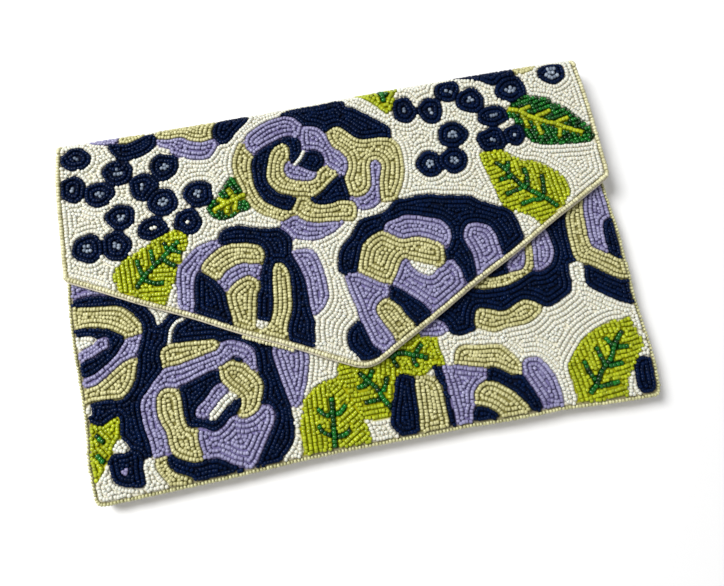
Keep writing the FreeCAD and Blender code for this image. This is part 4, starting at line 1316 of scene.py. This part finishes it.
grid_slab("flap_lining_hem", "fold_lining", "upper", flap_row(2.0, 100)[0],
          np.linspace(FLAT_END - 4.5, FLAT_END + 4, 14), hem, 0, -.34, LINING)
for name, node_name, z, thick, inset, top, mat, slot in (
        ("back_satin", "back_cloth", .8, .8, 2.4, FLAT_END, SATIN, "satin"),
        ("back_stiffener", "back_board", 2.0, 1.15, 3.2, FLAT_END - 2, BOARD, "board"),
        ("back_lining_satin", "back_lining", 2.5, .48, 2.6, FLAT_END, LINING, "lining")):
    bag_panel(name, node_name, level_at(z), 0, -thick, inset, top, 70, 50, mat)
# the back's satin turned up over the end of the beadwork
grid_slab("back_satin_turn", "back_cloth", "lower", flap_row(2.0, 100)[0],
          np.linspace(LOW_ARC + 4.4, LOW_ARC + ARC, 8), on_flap, 1.55, .15, SATIN)

# the sides: satin from the front's edge to the back's, tucked in along the seam
SIDE_HIGH, SIDE_TOP = 9.0, 93.5
# how far in from the edge, and how high as a share of the side's height; the place halfway up ripples
SIDE = ((2.2, 1.0), (1.0, .985), (.25, .90), (.35, .74), (1.15, .60), (1.6, .50), (1.15, .40), (.3, .22),
        (.25, .10), (.9, .02), (2.6, 0))
path = front_outline(0, SIDE_TOP)
ripple = .10 * np.sin(np.cumsum(np.linalg.norm(np.gradient(path, axis=0), axis=1)) / 5.3)
loops = []
for q, n, w in zip(path, heading(path)[1], ripple):
    high = SIDE_HIGH - 6.6 * np.clip((q[1] - 84) / 6, 0, 1)     # lower where the fold takes over
    outer = [(o + w * (z == .50), z) for o, z in SIDE]
    loop = [(o, .02 + z * high) for o, z in outer]
    for o, z in outer[::-1]:
        loop.append((o + .55 + .2 * (z in (0, 1.0)), min(max(.02 + z * high, .6), high - .55)))
    loops.append([(*(q + n * o), z) for o, z in loop])
side = loft("side_satin", loops, SATIN)
sharp_rim(side)
dress(side, "bag", "left_seam", "right_seam", "bottom_seam")


# piping on the mouth and the cord under the flap's edge
x = np.linspace(-150.6, 150.6, 160)
z = on_front(x, 0 * x + MOUTH)[0][:, 2] - .35 + .05 * np.sin(x / 4)
dress(cord("mouth_piping", np.stack([x, 0 * x + MOUTH + .15, z], -1), 1.0, LINING, 14, 1.55), "bag",
      "mouth_binding")
p, n = on_flap(*below(dense(flap_outline(.75), 1.2), FLAT_END - .4).T)
dress(cord("flap_lip_cord", p - n * 1.15, .95, SATIN, 10, .95), "flap", "flap_lip")

# stitches round the flap's lining
edge = below(dense(flap_outline(4.6), 3.4), FLAT_END - 3)
p, n = on_flap(*edge.T)
t = in_space(heading(edge)[0])
ob = bead_object("flap_stitches", CORD, p - n * 2.1, t, -n, np.ones(len(p)), np.full(len(p), .5),
                 form=bead_form(1.1, .17))
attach(ob, "flap")

for name in ("socket_base", "socket_cap", "socket_washer", "snap_stud", "stud_washer", "socket_magnet"):
    o = frame["nodes"][name]
    o.data.materials.clear()
    o.data.materials.append(FERRITE if name == "socket_magnet" else BRASS)

# ---------------------------------------------------------------- floor, light, camera
FLOOR = 3000                    # half its width
WORLD_LIGHT = .36
LENS, SENSOR = 29.83, 36        # mm
CAMERA, TARGET = (-12.31, -79.99, 335.91), (3.73, -16.32, 12)
ROLL = math.radians(10.56)
# name, place and diameter in m, power in W
LIGHTS = (("key", (-.73, .53, 1.14), .66, 24), ("fill", (.42, -.75, 1.08), 1.0, 1.2))

floor_mat, nt, p = material("pale_floor", Roughness=.9)
grain = node(nt, "ShaderNodeTexNoise", Scale=40.0, Detail=3.0)
nt.links.new(mix(nt, grain.outputs["Fac"], (.90, .90, .90), (.93, .93, .93)), p.inputs["Base Color"])
corners = [(x * FLOOR, y * FLOOR, 0) for x, y in ((-1, -1), (1, -1), (1, 1), (-1, 1))]
mesh_object("floor", corners, [np.array([[0, 1, 2, 3]])], floor_mat, smooth=False)

scene = bpy.context.scene
scene.world = bpy.data.worlds.new("studio")
scene.world.use_nodes = True
background = scene.world.node_tree.nodes["Background"]
background.inputs["Color"].default_value = (1, 1, 1, 1)
background.inputs["Strength"].default_value = WORLD_LIGHT

for name, where, size, power in LIGHTS:
    data = bpy.data.lights.new(name, "AREA")
    data.shape, data.size, data.energy = "DISK", size, power
    lamp = bpy.data.objects.new(name, data)
    lamp.location = where
    lamp.rotation_euler = (-Vector(where)).to_track_quat("-Z", "Y").to_euler()
    scene.collection.objects.link(lamp)

data = bpy.data.cameras.new("camera")
data.sensor_width, data.lens = SENSOR, LENS
data.clip_start, data.clip_end = .01, 20
camera = bpy.data.objects.new("camera", data)
where, target = Vector(CAMERA) * UNIT, Vector(TARGET) * UNIT
ahead = (target - where).normalized()
right = ahead.cross(Vector((math.sin(ROLL), math.cos(ROLL), 0))).normalized()
turn = Matrix((right, right.cross(ahead), -ahead)).transposed()
camera.matrix_world = Matrix.Translation(where) @ turn.to_4x4()
scene.collection.objects.link(camera)
scene.camera = camera
scene.view_settings.view_transform = "Standard"

bpy.context.view_layer.update()
